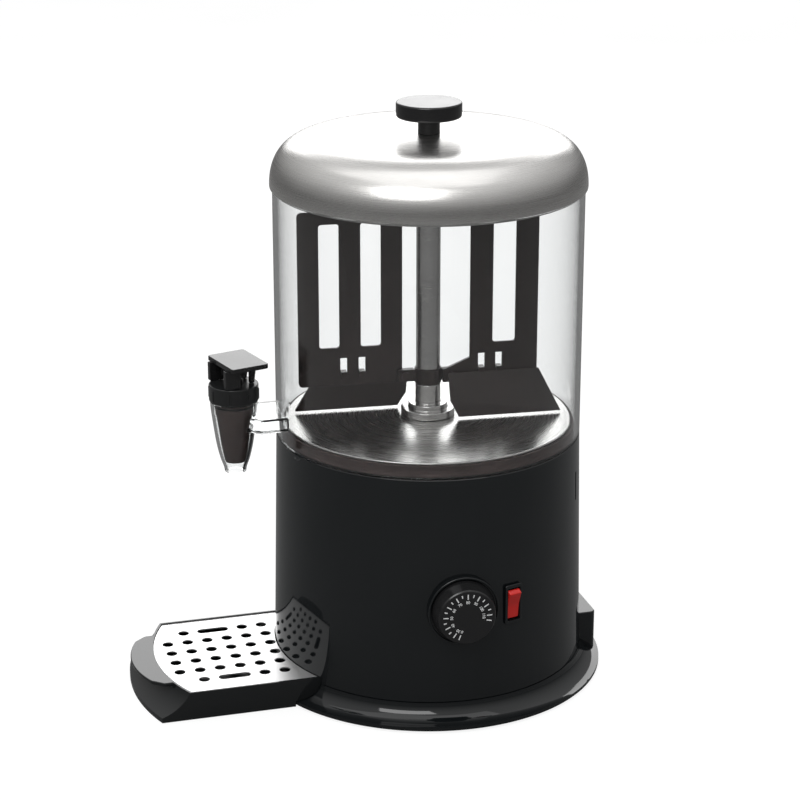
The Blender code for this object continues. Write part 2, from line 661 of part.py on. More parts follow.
def ring(inner, outer, low, high):
    return [(inner, low), (outer, low), (outer, high), (inner, high)]


ALONG = {
    "X": lambda a, b, depth: (depth, a, b),
    "Y": lambda a, b, depth: (a, depth, b),
    "Z": lambda a, b, depth: (a, b, depth),
}


def add_prism(bm, outline, low, high, axis="Z"):
    """Extrudes an outline along an axis. Along X it holds (y, z), along Y (x, z), along Z (x, y)."""
    place = ALONG[axis]
    face = bm.faces.new([bm.verts.new(place(a, b, low)) for a, b in outline])
    grown = bmesh.ops.extrude_face_region(bm, geom=[face])["geom"]
    moved = [item for item in grown if isinstance(item, bmesh.types.BMVert)]
    bmesh.ops.translate(bm, vec=place(0, 0, high - low), verts=moved)


def prism(name, outline, low, high, finish, parent, axis="Z"):
    bm = bmesh.new()
    add_prism(bm, outline, low, high, axis)
    return finish_object(name, bm, finish, parent)


def loft(name, levels, finish, parent):
    """Joins loops of the same number of points, and closes the first and the last."""
    bm = bmesh.new()
    loops = [[bm.verts.new(point) for point in level] for level in levels]
    for lower, upper in zip(loops, loops[1:]):
        for i, vert in enumerate(lower):
            after = (i + 1) % len(lower)
            bm.faces.new((vert, lower[after], upper[after], upper[i]))
    bm.faces.new(loops[0])
    bm.faces.new(loops[-1])
    return finish_object(name, bm, finish, parent)


def box_outline(half_x, half_y, centre=(0, 0)):
    x, y = centre
    return [(x - half_x, y - half_y), (x + half_x, y - half_y), (x + half_x, y + half_y), (x - half_x, y + half_y)]


def circle(radius, sides, centre=(0, 0), start=0.0):
    turns = [start + 2 * math.pi * i / sides for i in range(sides)]
    return [(centre[0] + radius * math.cos(t), centre[1] + radius * math.sin(t)) for t in turns]


def rounded(outline, radius, steps=3, corners=None):
    """The outline with round corners. corners lists which points are rounded, all of them if left out."""
    points = []
    count = len(outline)
    for i, corner in enumerate(outline):
        if corners is not None and i not in corners:
            points.append(corner)
            continue
        here = Vector(corner)
        back = (Vector(outline[i - 1]) - here).normalized()
        ahead = (Vector(outline[(i + 1) % count]) - here).normalized()
        half = back.angle(ahead) / 2
        centre = here + (back + ahead).normalized() * radius / math.sin(half)
        start = here + back * radius / math.tan(half) - centre
        end = here + ahead * radius / math.tan(half) - centre
        sweep = start.angle_signed(end)
        base = math.atan2(start.y, start.x)
        for k in range(steps + 1):
            turn = base - sweep * k / steps
            points.append((centre.x + radius * math.cos(turn), centre.y + radius * math.sin(turn)))
    return points


def slot_outline(length, width, centre=(0, 0), steps=6):
    """A slot with round ends, lying along its second axis."""
    half = (length - width) / 2
    points = []
    for k in range(steps + 1):
        turn = math.pi * k / steps
        points.append((centre[0] + width / 2 * math.cos(turn), centre[1] + half + width / 2 * math.sin(turn)))
    for k in range(steps + 1):
        turn = math.pi + math.pi * k / steps
        points.append((centre[0] + width / 2 * math.cos(turn), centre[1] - half + width / 2 * math.sin(turn)))
    return points


def screw(name, place, low, length, finish, parent):
    """A pan-head screw driven upward. The head's face is at the bottom."""
    outline = [
        (0, low),
        (SCREW_HEAD_RADIUS, low),
        (SCREW_HEAD_RADIUS, low + SCREW_HEAD_HEIGHT),
        (SCREW_RADIUS, low + SCREW_HEAD_HEIGHT),
        (SCREW_RADIUS, low + length),
        (0, low + length),
    ]
    return spun(name, outline, SCREW_SIDES, finish, parent, place)


def around(radius, count, start=0.0):
    return circle(radius, count, start=start)


def cove_points(grow=0.0):
    """The skirt's hollow curve from the top edge down to the foot, grown outward and upward."""
    top_radius = HOUSING_LOW_RADIUS + GAP
    points = []
    for k in range(COVE_STEPS + 1):
        turn = math.pi / 2 * k / COVE_STEPS
        radius = BASE_RADIUS - (BASE_RADIUS - top_radius) * math.cos(turn)
        height = COVE_TOP_HEIGHT - (COVE_TOP_HEIGHT - COVE_FOOT_HEIGHT) * math.sin(turn)
        points.append((radius + grow, height + grow))
    return points


def body_cutter(name, parent, skirt_gap, housing_gap):
    """The space that the skirt and the housing take up, as a tool for what stands before them."""
    top = TRAY_TOP_HEIGHT + OVERRUN
    near_housing = housing_radius(COVE_TOP_HEIGHT) + housing_gap
    outline = [(0, -OVERRUN), (BASE_RADIUS + skirt_gap, -OVERRUN)]
    outline += reversed(cove_points(skirt_gap))
    outline += [(near_housing, COVE_TOP_HEIGHT + 2 * skirt_gap), (housing_radius(top) + housing_gap, top), (0, top)]
    return spun(name, outline, LARGE_SIDES, None, parent)


def base_moulding(body):
    """The coved skirt, its inner flange, the ring that locates the housing, and the cable box behind."""
    shell_inner = housing_radius(LEDGE_RING_HEIGHT) - HOUSING_WALL
    ring_outer = shell_inner - GAP
    ring_inner = ring_outer - LEDGE_RING_WALL
    outline = [
        (BASE_RADIUS - BASE_WALL, BASE_RIM_HEIGHT),
        (BASE_RADIUS, BASE_RIM_HEIGHT),
        *reversed(cove_points()),
        (ring_outer, COVE_TOP_HEIGHT),
        (ring_outer, LEDGE_RING_HEIGHT),
        (ring_inner, LEDGE_RING_HEIGHT),
        (ring_inner, FLANGE_HIGH),
        (FLANGE_INNER_RADIUS, FLANGE_HIGH),
        (FLANGE_INNER_RADIUS, FLANGE_LOW),
        (housing_radius(COVE_TOP_HEIGHT), FLANGE_LOW),
        (BASE_RADIUS - 2 * BASE_WALL, COVE_FOOT_HEIGHT - GAP),
        (BASE_RADIUS - BASE_WALL, BASE_RIM_HEIGHT + BASE_WALL / 2),
    ]
    skirt = spun("base_skirt", outline, LARGE_SIDES, "gloss_black", body)
    box_back = rounded(
        [
            (-CABLE_BOX_HALF_WIDTH, FLANGE_INNER_RADIUS),
            (CABLE_BOX_HALF_WIDTH, FLANGE_INNER_RADIUS),
            (CABLE_BOX_HALF_WIDTH, CABLE_BOX_REACH),
            (-CABLE_BOX_HALF_WIDTH, CABLE_BOX_REACH),
        ],
        CABLE_BOX_BEVEL,
        corners=(2, 3),
    )
    box = prism("cable_box_shape", box_back, CABLE_BOX_LOW, CABLE_BOX_HEIGHT, None, body)
    top = CABLE_BOX_HEIGHT + OVERRUN
    room = spun(
        "cable_box_room",
        [
            (0, COVE_TOP_HEIGHT),
            (housing_radius(COVE_TOP_HEIGHT) + GAP, COVE_TOP_HEIGHT),
            (housing_radius(top) + GAP, top),
            (0, top),
        ],
        LARGE_SIDES,
        None,
        body,
    )
    low_room = spun(
        "base_room",
        disc((ring_inner + ring_outer) / 2, CABLE_BOX_LOW - OVERRUN, COVE_TOP_HEIGHT + OVERRUN),
        LARGE_SIDES,
        None,
        body,
    )
    cut(box, room, low_room)
    bore = prism(
        "cable_bore",
        circle(CABLE_BORE_RADIUS, SMALL_SIDES, (0, CABLE_HEIGHT)),
        ring_inner - OVERRUN,
        CABLE_BOX_REACH + OVERRUN,
        None,
        body,
        axis="Y",
    )
    holes = foot_holes("flange_holes", FLANGE_LOW, FLANGE_HIGH, body)
    fuse(skirt, box)
    cut(skirt, bore, holes)


def foot_holes(name, low, high, parent):
    outline = disc(FOOT_STEM_RADIUS + GAP, low - OVERRUN / 2, high + OVERRUN / 2)
    return spun_set(name, outline, SMALL_SIDES, None, parent, around(FOOT_CIRCLE_RADIUS, 4, math.pi / 4))


def bottom_cover(body):
    """The vented plate under the base, and the four rubber feet whose barbed stems hold it on."""
    high = COVER_LOW + COVER_THICKNESS
    cover = spun("bottom_cover", disc(COVER_RADIUS, COVER_LOW, high), LARGE_SIDES, "dull_steel", body)
    bm = bmesh.new()
    slot_inner, slot_outer = (COVER_RADIUS * share for share in COVER_SLOT_SHARES)
    middle = (slot_inner + slot_outer) / 2
    length = slot_outer - slot_inner
    for k in range(COVER_SLOT_COUNT):
        turn = 2 * math.pi * (k + 0.5) / COVER_SLOT_COUNT
        straight = slot_outline(length, COVER_SLOT_WIDTH, (0, middle), steps=3)
        turned = [(x * math.cos(turn) - y * math.sin(turn), x * math.sin(turn) + y * math.cos(turn)) for x, y in straight]
        add_prism(bm, turned, COVER_LOW - OVERRUN, high + OVERRUN)
    slots = finish_object("cover_slots", bm, None, body)
    cut(cover, slots, foot_holes("cover_holes", COVER_LOW, high, body))
    foot_top = COVER_LOW - GAP
    barb = FLANGE_HIGH + GAP
    outline = [
        (0, 0),
        (FOOT_FLOOR_RADIUS, 0),
        (FOOT_TOP_RADIUS, foot_top),
        (FOOT_STEM_RADIUS, foot_top),
        (FOOT_STEM_RADIUS, barb),
        (FOOT_STEM_RADIUS + FOOT_BARB, barb),
        (FOOT_STEM_RADIUS / 2, barb + FOOT_BARB_HEIGHT),
        (0, barb + FOOT_BARB_HEIGHT),
    ]
    names = ("foot_rear_right", "foot_rear_left", "foot_front_left", "foot_front_right")
    for name, place in zip(names, around(FOOT_CIRCLE_RADIUS, 4, math.pi / 4)):
        spun(name, outline, SMALL_SIDES, "rubber", body, place)


def cord_gland(body):
    """The plain gland in the cable box, where a lead would enter."""
    face = CABLE_BOX_REACH + GAP
    tube = CABLE_BORE_RADIUS - GAP
    back = frame("gland_axis", (0, 0, CABLE_HEIGHT), outward(math.pi / 2), body)
    outline = [
        (GLAND_BORE_RADIUS, face - GLAND_TUBE_LENGTH),
        (tube, face - GLAND_TUBE_LENGTH),
        (tube, face),
        (GLAND_FLANGE_RADIUS, face),
        (GLAND_FLANGE_RADIUS - GLAND_FLANGE / 2, face + GLAND_FLANGE),
        (GLAND_BORE_RADIUS, face + GLAND_FLANGE),
    ]
    spun("cord_gland", outline, SMALL_SIDES, "satin_black", back)


def housing_shell(body, dial, rocker):
    """The tapered black shell with its inner shelf, vents and the holes for the controls."""
    low = COVE_TOP_HEIGHT + GAP
    shelf_top = DECK_TOP_HEIGHT - DECK_THICKNESS - GAP
    shelf_low = shelf_top - SHELF_THICKNESS

    def inner(height):
        return housing_radius(height) - HOUSING_WALL

    outline = [
        (inner(low), low),
        (housing_radius(low), low),
        (HOUSING_TOP_RADIUS, HOUSING_TOP_HEIGHT),
        (inner(HOUSING_TOP_HEIGHT), HOUSING_TOP_HEIGHT),
        (inner(shelf_top), shelf_top),
        (inner(shelf_top) - SHELF_WIDTH, shelf_top),
        (inner(shelf_top) - SHELF_WIDTH, shelf_low),
        (inner(shelf_low), shelf_low - SHELF_WIDTH / 2),
    ]
    shell = spun("housing_shell", outline, LARGE_SIDES, "gloss_black", body)
    neck_hole = spun("dial_hole", disc(NECK_RADIUS + GAP, NECK_FRONT - OVERRUN, NECK_FRONT + OVERRUN), SMALL_SIDES, None, dial)
    half_x, half_y = (half + GAP for half in ROCKER_BODY_HALF)
    window = prism(
        "rocker_window",
        box_outline(half_x, half_y),
        ROCKER_FRAME_BACK - OVERRUN,
        ROCKER_FRAME_FRONT + OVERRUN,
        None,
        rocker,
    )
    gland_hole = prism(
        "gland_hole",
        circle(CABLE_BORE_RADIUS, SMALL_SIDES, (0, CABLE_HEIGHT)),
        inner(low) - OVERRUN,
        housing_radius(low) + OVERRUN,
        None,
        body,
        axis="Y",
    )
    bm = bmesh.new()
    for k in range(VENT_COUNT):
        turn = math.pi / 2 + VENT_ARC * (k / (VENT_COUNT - 1) - 0.5)
        across = Vector((-math.sin(turn), math.cos(turn), 0))
        out = Vector((math.cos(turn), math.sin(turn), 0))
        outline = slot_outline(VENT_HIGH - VENT_LOW, VENT_WIDTH, (0, (VENT_LOW + VENT_HIGH) / 2), steps=3)
        near = HOUSING_TOP_RADIUS - OVERRUN
        far = HOUSING_LOW_RADIUS + OVERRUN
        face = bm.faces.new([bm.verts.new(across * a + out * near + Vector((0, 0, b))) for a, b in outline])
        grown = bmesh.ops.extrude_face_region(bm, geom=[face])["geom"]
        moved = [item for item in grown if isinstance(item, bmesh.types.BMVert)]
        bmesh.ops.translate(bm, vec=out * (far - near), verts=moved)
    vents = finish_object("housing_vents", bm, None, body)
    cut(shell, neck_hole, window, gland_hole, vents)


def deck_and_pan(body):
    """The deck on the housing's shelf, the steel pan on it and the rubber seal round the pan."""
    deck_low = DECK_TOP_HEIGHT - DECK_THICKNESS
    deck_outer = housing_radius(deck_low) - HOUSING_WALL - 2 * GAP
    rim_inner = PAN_RADIUS + GAP
    rim_outer = BOWL_INNER - GAP
    deck = spun(
        "deck_ring",
        [
            (DECK_BORE_RADIUS, deck_low),
            (deck_outer, deck_low),
            (deck_outer, DECK_TOP_HEIGHT),
            (rim_outer, DECK_TOP_HEIGHT),
            (rim_outer, DECK_RIM_HEIGHT),
            (rim_inner, DECK_RIM_HEIGHT),
            (rim_inner, DECK_TOP_HEIGHT),
            (DECK_BORE_RADIUS, DECK_TOP_HEIGHT),
        ],
        LARGE_SIDES,
        "satin_black",
        body,
    )
    places = bracket_screw_places()
    screw_holes = spun_set(
        "deck_screw_holes",
        disc(SCREW_HOLE_RADIUS, deck_low - OVERRUN, DECK_TOP_HEIGHT + OVERRUN),
        SCREW_SIDES,
        None,
        body,
        places,
    )
    capillary_hole = spun(
        "capillary_hole",
        disc(CAPILLARY_HOLE_RADIUS, deck_low - OVERRUN, DECK_TOP_HEIGHT + OVERRUN),
        SCREW_SIDES,
        None,
        body,
        (BULB_CIRCLE_RADIUS, 0),
    )
    cut(deck, screw_holes, capillary_hole)

    pan_low = PAN_TOP_HEIGHT - PAN_THICKNESS
    skirt_low = DECK_TOP_HEIGHT + GAP
    spun(
        "heating_pan",
        [
            (PAN_BORE_RADIUS, pan_low),
            (PAN_RADIUS - PAN_THICKNESS, pan_low),
            (PAN_RADIUS - PAN_THICKNESS, skirt_low),
            (PAN_RADIUS, skirt_low),
            (PAN_RADIUS, PAN_TOP_HEIGHT - PAN_THICKNESS),
            (PAN_RADIUS - PAN_THICKNESS, PAN_TOP_HEIGHT),
            (PAN_BORE_RADIUS, PAN_TOP_HEIGHT),
        ],
        LARGE_SIDES,
        "steel",
        body,
    )
    seal_low = DECK_RIM_HEIGHT + GAP
    seal_inner = PAN_RADIUS + GAP
    seal_outer = BOWL_INNER - GAP
    middle = (seal_low + SEAL_LIP_HEIGHT) / 2
    spun(
        "pan_seal",
        [
            (seal_inner, seal_low),
            (seal_outer, seal_low),
            (seal_outer - SEAL_GROOVE_DEPTH, middle - SEAL_GROOVE_DEPTH),
            (seal_outer - SEAL_GROOVE_DEPTH, middle + SEAL_GROOVE_DEPTH),
            (seal_outer, SEAL_LIP_HEIGHT),
            (seal_inner, SEAL_LIP_HEIGHT),
        ],
        LARGE_SIDES,
        "mauve_rubber",
        body,
    )


def heater(body):
    """The cast ring heater and the overheat cut-out, both held against the pan's underside."""
    top = PAN_TOP_HEIGHT - PAN_THICKNESS - GAP
    low = top - HEATER_THICKNESS
    middle = (HEATER_INNER_RADIUS + HEATER_OUTER_RADIUS) / 2
    bevel = HEATER_THICKNESS / 3
    heater_ring = spun(
        "heater_ring",
        [
            (HEATER_INNER_RADIUS + bevel, low),
            (HEATER_OUTER_RADIUS - bevel, low),
            (HEATER_OUTER_RADIUS, low + bevel),
            (HEATER_OUTER_RADIUS, top),
            (HEATER_INNER_RADIUS, top),
            (HEATER_INNER_RADIUS, low + bevel),
        ],
        LARGE_SIDES // 2,
        "dull_steel",
        body,
    )
    pin_places = [(middle * math.cos(t), middle * math.sin(t)) for t in (-HEATER_PIN_ANGLE, HEATER_PIN_ANGLE)]
    pins = spun_set(
        "heater_pins",
        disc(HEATER_PIN_RADIUS, DECK_TOP_HEIGHT + HEATER_PIN_ROOM, low + bevel),
        SCREW_SIDES,
        None,
        body,
        pin_places,
    )
    fuse(heater_ring, pins)
    cutout = spun(
        "overheat_cutout",
        disc(CUTOUT_RADIUS, top - CUTOUT_THICKNESS, top),
        SMALL_SIDES,
        "cream",
        body,
        (0, CUTOUT_PLACE),
    )
    tab_size = CUTOUT_RADIUS / 3
    tabs = prism(
        "cutout_tabs",
        box_outline(tab_size, CUTOUT_THICKNESS / 6, (0, CUTOUT_PLACE)),
        top - 2 * CUTOUT_THICKNESS,
        top - CUTOUT_THICKNESS / 2,
        None,
        body,
    )
    fuse(cutout, tabs)


def sensor(body):
    """The thermostat's bulb under the pan, and its capillary down through the deck to the thermostat."""
    height = PAN_TOP_HEIGHT - PAN_THICKNESS - GAP - BULB_RADIUS
    route = []
    steps = 8
    for k in range(steps + 1):
        turn = BULB_ARC * (steps - k) / steps + BULB_RADIUS / BULB_CIRCLE_RADIUS * 2
        place = (BULB_CIRCLE_RADIUS * math.cos(turn), BULB_CIRCLE_RADIUS * math.sin(turn), height)
        route.append((place, BULB_RADIUS))
    bend = CAPILLARY_HOLE_RADIUS * 2
    route.append(((BULB_CIRCLE_RADIUS, bend / 2, height), CAPILLARY_RADIUS))
    low = DIAL_HEIGHT + THERMOSTAT_RADIUS + GAP + CAPILLARY_RADIUS
    drop = 6
    for k in range(drop + 1):
        share = k / drop
        route.append(((BULB_CIRCLE_RADIUS, 0, (height - bend) + (low - height + bend) * share), CAPILLARY_RADIUS))
    curve = bpy.data.curves.new("sensor_capillary", "CURVE")
    curve.dimensions = "3D"
    curve.bevel_depth = 1.0
    curve.bevel_resolution = 1
    curve.use_fill_caps = True
    spline = curve.splines.new("POLY")
    spline.points.add(len(route) - 1)
    for point, (place, radius) in zip(spline.points, route):
        point.co = (*place, 1)
        point.radius = radius
    curve.materials.append(material("brass"))
    obj = bpy.data.objects.new("sensor_capillary", curve)
    bpy.context.scene.collection.objects.link(obj)
    obj.parent = body


def riser(body):
    """The steel riser that carries the shaft through the pan, with its nut, bushes and shaft seal."""
    flange_low = PAN_TOP_HEIGHT + GAP
    spun(
        "pan_riser",
        [
            (RISER_BORE_RADIUS, RISER_TAIL_LOW),
            (RISER_TAIL_RADIUS, RISER_TAIL_LOW),
            (RISER_TAIL_RADIUS, flange_low),
            (RISER_FLANGE_RADIUS, flange_low),
            (RISER_FLANGE_RADIUS, RISER_FLANGE_TOP - RISER_CHAMFER),
            (RISER_FLANGE_RADIUS - RISER_CHAMFER, RISER_FLANGE_TOP),
            (RISER_STEP_RADIUS, RISER_FLANGE_TOP),
            (RISER_STEP_RADIUS, RISER_STEP_TOP - RISER_CHAMFER),
            (RISER_STEP_RADIUS - RISER_CHAMFER, RISER_STEP_TOP),
            (RISER_SLEEVE_RADIUS, RISER_STEP_TOP),
            (RISER_SLEEVE_RADIUS, RISER_SLEEVE_TOP),
            (RISER_BORE_RADIUS, RISER_SLEEVE_TOP),
        ],
        TAP_SIDES,
        "steel",
        body,
    )
    nut_top = PAN_TOP_HEIGHT - PAN_THICKNESS - GAP
    nut = prism(
        "pan_nut",
        circle(NUT_ACROSS / 2 / math.cos(math.pi / 6), 6),
        nut_top - NUT_THICKNESS,
        nut_top,
        "brass",
        body,
    )
    nut_bore = spun(
        "nut_bore",
        disc(RISER_TAIL_RADIUS + GAP, nut_top - NUT_THICKNESS - OVERRUN, nut_top + OVERRUN),
        TAP_SIDES,
        None,
        body,
    )
    cut(nut, nut_bore)
    inner = DRIVE_SHAFT_RADIUS + GAP
    outer = RISER_BORE_RADIUS - GAP
    seal_low = RISER_SLEEVE_TOP - SHAFT_SEAL_LENGTH
    upper_top = seal_low - GAP
    spun("bush_lower", ring(inner, outer, RISER_TAIL_LOW, RISER_TAIL_LOW + BUSH_LENGTH), TAP_SIDES, "brass", body)
    spun("bush_upper", ring(inner, outer, upper_top - BUSH_LENGTH, upper_top), TAP_SIDES, "brass", body)
    spun("shaft_seal", ring(inner, outer, seal_low, RISER_SLEEVE_TOP), TAP_SIDES, "rubber", body)


def bracket_screw_places():
    return [(-BRACKET_SCREW_PLACE, 0), (BRACKET_SCREW_PLACE, 0)]


def motor(body):
    """The gear motor, hung on a hat-shaped bracket from the deck."""
    low = BRACKET_HEIGHT
    sheet = BRACKET_THICKNESS
    top = DECK_TOP_HEIGHT - DECK_THICKNESS - GAP
    span = BRACKET_HALF_SPAN
    ear = span + BRACKET_EAR
    hat = [
        (-ear, top),
        (-ear, top - sheet),
        (-span, top - sheet),
        (-span, low),
        (span, low),
        (span, top - sheet),
        (ear, top - sheet),
        (ear, top),
        (span - sheet, top),
        (span - sheet, low + sheet),
        (-span + sheet, low + sheet),
        (-span + sheet, top),
    ]
    bracket = prism("motor_bracket", hat, -BRACKET_HALF_WIDTH, BRACKET_HALF_WIDTH, "dull_steel", body, axis="Y")
    boss_hole = spun(
        "boss_hole",
        disc(GEARBOX_BOSS_RADIUS + GAP, low - OVERRUN, low + sheet + OVERRUN),
        TAP_SIDES,
        None,
        body,
    )
    ear_holes = spun_set(
        "ear_holes",
        disc(SCREW_HOLE_RADIUS, top - sheet - OVERRUN, top + OVERRUN),
        SCREW_SIDES,
        None,
        body,
        bracket_screw_places(),
    )
    cut(bracket, boss_hole, ear_holes)
    head = top - sheet - GAP - SCREW_HEAD_HEIGHT
    for name, place in zip(("bracket_screw_left", "bracket_screw_right"), bracket_screw_places()):
        screw(name, place, head, DECK_TOP_HEIGHT - head, "dull_steel", body)

    gearbox_top = low - GAP
    bore = MOTOR_SHAFT_RADIUS + GAP
    shaft_floor = MOTOR_SHAFT_LOW - GAP
    spun(
        "motor_gearbox",
        [
            (0, GEARBOX_LOW),
            (GEARBOX_RADIUS, GEARBOX_LOW),
            (GEARBOX_RADIUS, gearbox_top),
            (GEARBOX_BOSS_RADIUS, gearbox_top),
            (GEARBOX_BOSS_RADIUS, GEARBOX_BOSS_TOP),
            (bore, GEARBOX_BOSS_TOP),
            (bore, shaft_floor),
            (0, shaft_floor),
        ],
        TAP_SIDES,
        "dull_steel",
        body,
    )
    can_top = GEARBOX_LOW - GAP
    spun(
        "motor_can",
        [
            (0, MOTOR_LOW),
            (MOTOR_RADIUS - MOTOR_CHAMFER, MOTOR_LOW),
            (MOTOR_RADIUS, MOTOR_LOW + MOTOR_CHAMFER),
            (MOTOR_RADIUS, can_top),
            (0, can_top),
        ],
        TAP_SIDES,
        "dull_steel",
        body,
    )


def terminal_block(body):
    """The block on the bottom cover where the inner wires meet, with its clamping screws sunk in."""
    low = COVER_LOW + COVER_THICKNESS + GAP
    block = prism(
        "terminal_block",
        box_outline(BLOCK_SIZE[0] / 2, BLOCK_SIZE[1] / 2, BLOCK_PLACE),
        low,
        low + BLOCK_SIZE[2],
        "cream",
        body,
    )
    pitch = BLOCK_SIZE[0] / 3
    places = [(BLOCK_PLACE[0] + pitch * k, BLOCK_PLACE[1]) for k in (-1, 0, 1)]
    top = low + BLOCK_SIZE[2]
    wells = spun_set("block_wells", disc(BLOCK_SCREW_RADIUS, top - OVERRUN / 2, top + OVERRUN), SCREW_SIDES, None, body, places)
    cut(block, wells)


def thermostat(dial):
    """The thermostat's body behind the housing, with the neck that fills the hole, and the dial's bezel."""
    bore = SPINDLE_RADIUS + GAP
    body = spun(
        "thermostat_body",
        [
            (0, THERMOSTAT_BACK),
            (THERMOSTAT_RADIUS, THERMOSTAT_BACK),
            (THERMOSTAT_RADIUS, THERMOSTAT_FRONT),
            (NECK_RADIUS, THERMOSTAT_FRONT),
            (NECK_RADIUS, NECK_FRONT),
            (bore, NECK_FRONT),
            (bore, SPINDLE_BACK - GAP),
            (0, SPINDLE_BACK - GAP),
        ],
        SMALL_SIDES,
        "cream",
        dial,
    )
    tab_size = THERMOSTAT_TAB_HALF
    bm = bmesh.new()
    for side in (-1, 1):
        outline = box_outline(tab_size, tab_size / 6, (0, side * THERMOSTAT_RADIUS / 2))
        add_prism(bm, outline, THERMOSTAT_BACK - 2 * tab_size, THERMOSTAT_BACK + tab_size)
    tabs = finish_object("thermostat_tabs", bm, None, dial)
    fuse(body, tabs)

    back = DIAL_SEAT - BEZEL_RADIUS / 2
    bezel = spun(
        "dial_bezel",
        [
            (bore, back),
            (BEZEL_RADIUS, back),
            (BEZEL_RADIUS, BEZEL_RIM - BEZEL_WALL / 2),
            (BEZEL_RADIUS - BEZEL_WALL / 2, BEZEL_RIM),
            (BEZEL_RADIUS - BEZEL_WALL, BEZEL_RIM - BEZEL_WALL / 2),
            (BEZEL_RADIUS - BEZEL_WALL, BEZEL_FLOOR),
            (bore, BEZEL_FLOOR),
        ],
        TAP_SIDES,
        "gloss_black",
        dial,
    )
    low = DIAL_HEIGHT - BEZEL_RADIUS - OVERRUN
    high = DIAL_HEIGHT + BEZEL_RADIUS + OVERRUN
    grow = SLIDING_GAP
    room = spun(
        "bezel_room",
        [(0, low), (housing_radius(low) + grow, low), (housing_radius(high) + grow, high), (0, high)],
        LARGE_SIDES,
        None,
        dial.parent,
    )
    cut(bezel, room)


def dial_knob(axis):
    """The turning knob and its spindle."""
    bore = SPINDLE_RADIUS + GAP
    spun(
        "dial_knob",
        [
            (bore, KNOB_BACK),
            (DIAL_BACK_RADIUS, KNOB_BACK),
            (DIAL_FRONT_RADIUS, DIAL_FACE - (DIAL_FRONT_RADIUS - DIAL_FACE_RADIUS)),
            (DIAL_FACE_RADIUS, DIAL_FACE),
            (0, DIAL_FACE),
            (0, SPINDLE_FRONT + GAP),
            (bore, SPINDLE_FRONT + GAP),
        ],
        TAP_SIDES,
        "satin_black",
        axis,
    )
    spun("dial_spindle", disc(SPINDLE_RADIUS, SPINDLE_BACK, SPINDLE_FRONT), SMALL_SIDES, "dull_steel", axis)


def rocker_frame(rocker):
    """The switch's frame and body in one piece, with its terminals and the cavity for the key."""
    outline = rounded(box_outline(*ROCKER_FRAME_HALF), ROCKER_FRAME_ROUND, 2)
    switch = prism("rocker_frame", outline, ROCKER_FRAME_BACK, ROCKER_FRAME_FRONT, "gloss_black", rocker)
    body = prism(
        "rocker_body_shape",
        box_outline(*ROCKER_BODY_HALF),
        ROCKER_BODY_BACK,
        (ROCKER_FRAME_BACK + ROCKER_FRAME_FRONT) / 2,
        None,
        rocker,
    )
    cavity = prism(
        "rocker_cavity",
        box_outline(*ROCKER_CAVITY_HALF),
        ROCKER_CAVITY_BACK,
        ROCKER_FRAME_FRONT + OVERRUN,
        None,
        rocker,
    )
    bm = bmesh.new()
    high = (ROCKER_BODY_BACK + ROCKER_CAVITY_BACK) / 2
    for k in (-1, 0, 1):
        outline = box_outline(TERMINAL_SIZE[0] / 2, TERMINAL_SIZE[1] / 2, (0, k * TERMINAL_PITCH))
        add_prism(bm, outline, ROCKER_BODY_BACK - TERMINAL_SIZE[2], high)
    terminals = finish_object("rocker_terminals", bm, None, rocker)
    fuse(switch, body, terminals)
    cut(switch, cavity)


def rocker_key(pivot):
    """The red key, a shallow V that rocks about its pivot, with its upper end out."""

    def swept(angle):
        return (ROCKER_SWEEP * math.cos(angle), ROCKER_SWEEP * math.sin(angle))

    corner = swept(ROCKER_CORNER_ANGLE)
    side = swept(ROCKER_SIDE_ANGLE)
    root_half, root = (ROCKER_SWEEP * share for share in ROCKER_ROOT_SHARES)
    outline = [
        (0, ROCKER_SWEEP * ROCKER_MIDDLE_SHARE),
        corner,
        side,
        (root_half, -root),
        (-root_half, -root),
        (-side[0], side[1]),
        (-corner[0], corner[1]),
    ]
    key = prism("rocker_key", outline, -ROCKER_KEY_HALF_WIDTH, ROCKER_KEY_HALF_WIDTH, "red", pivot, axis="X")
    key.rotation_euler = (ROCKER_REST, 0, 0)


def bowl_wall(body):
    """The clear wall of the bowl, open at both ends, with the hole where the tap's duct starts."""
    inner = BOWL_INNER
    low = HOUSING_TOP_HEIGHT + GAP
    edge = min(BOWL_RIM_ROUND, BOWL_WALL / 3)
    wall = spun(
        "bowl_wall",
        [
            (inner, low),
            (BOWL_RADIUS, low),
            (BOWL_RADIUS, BOWL_TOP_HEIGHT - edge),
            (BOWL_RADIUS - edge, BOWL_TOP_HEIGHT),
            (inner + edge, BOWL_TOP_HEIGHT),
            (inner, BOWL_TOP_HEIGHT - edge),
        ],
        LARGE_SIDES,
        "clear",
        body,
    )
    half = DUCT_HALF_WIDTH - DUCT_SIDE_WALL
    hole = prism(
        "duct_hole",
        [
            (-half, -BOWL_RADIUS - OVERRUN),
            (half, -BOWL_RADIUS - OVERRUN),
            (half, -inner + OVERRUN),
            (-half, -inner + OVERRUN),
        ],
        DUCT_LOW + DUCT_WALL,
        DUCT_HIGH - DUCT_WALL,
        None,
        body,
    )
    cut(wall, hole)


def tap_points(inset=0):
    """The tap's outline from the shoulder down to the outlet, or the same drawn in by the inset."""
    return [(TAP_RADIUS * wide - inset, TAP_SHOULDER_HEIGHT - TAP_DEPTH * down) for wide, down in TAP_PROFILE_SHARES]


def radius_at(points, height):
    """The radius of a falling outline at this height."""
    for (upper, high), (lower, low) in zip(points, points[1:]):
        if low <= height <= high:
            return upper + (lower - upper) * (high - height) / (high - low)
    return points[-1][0]


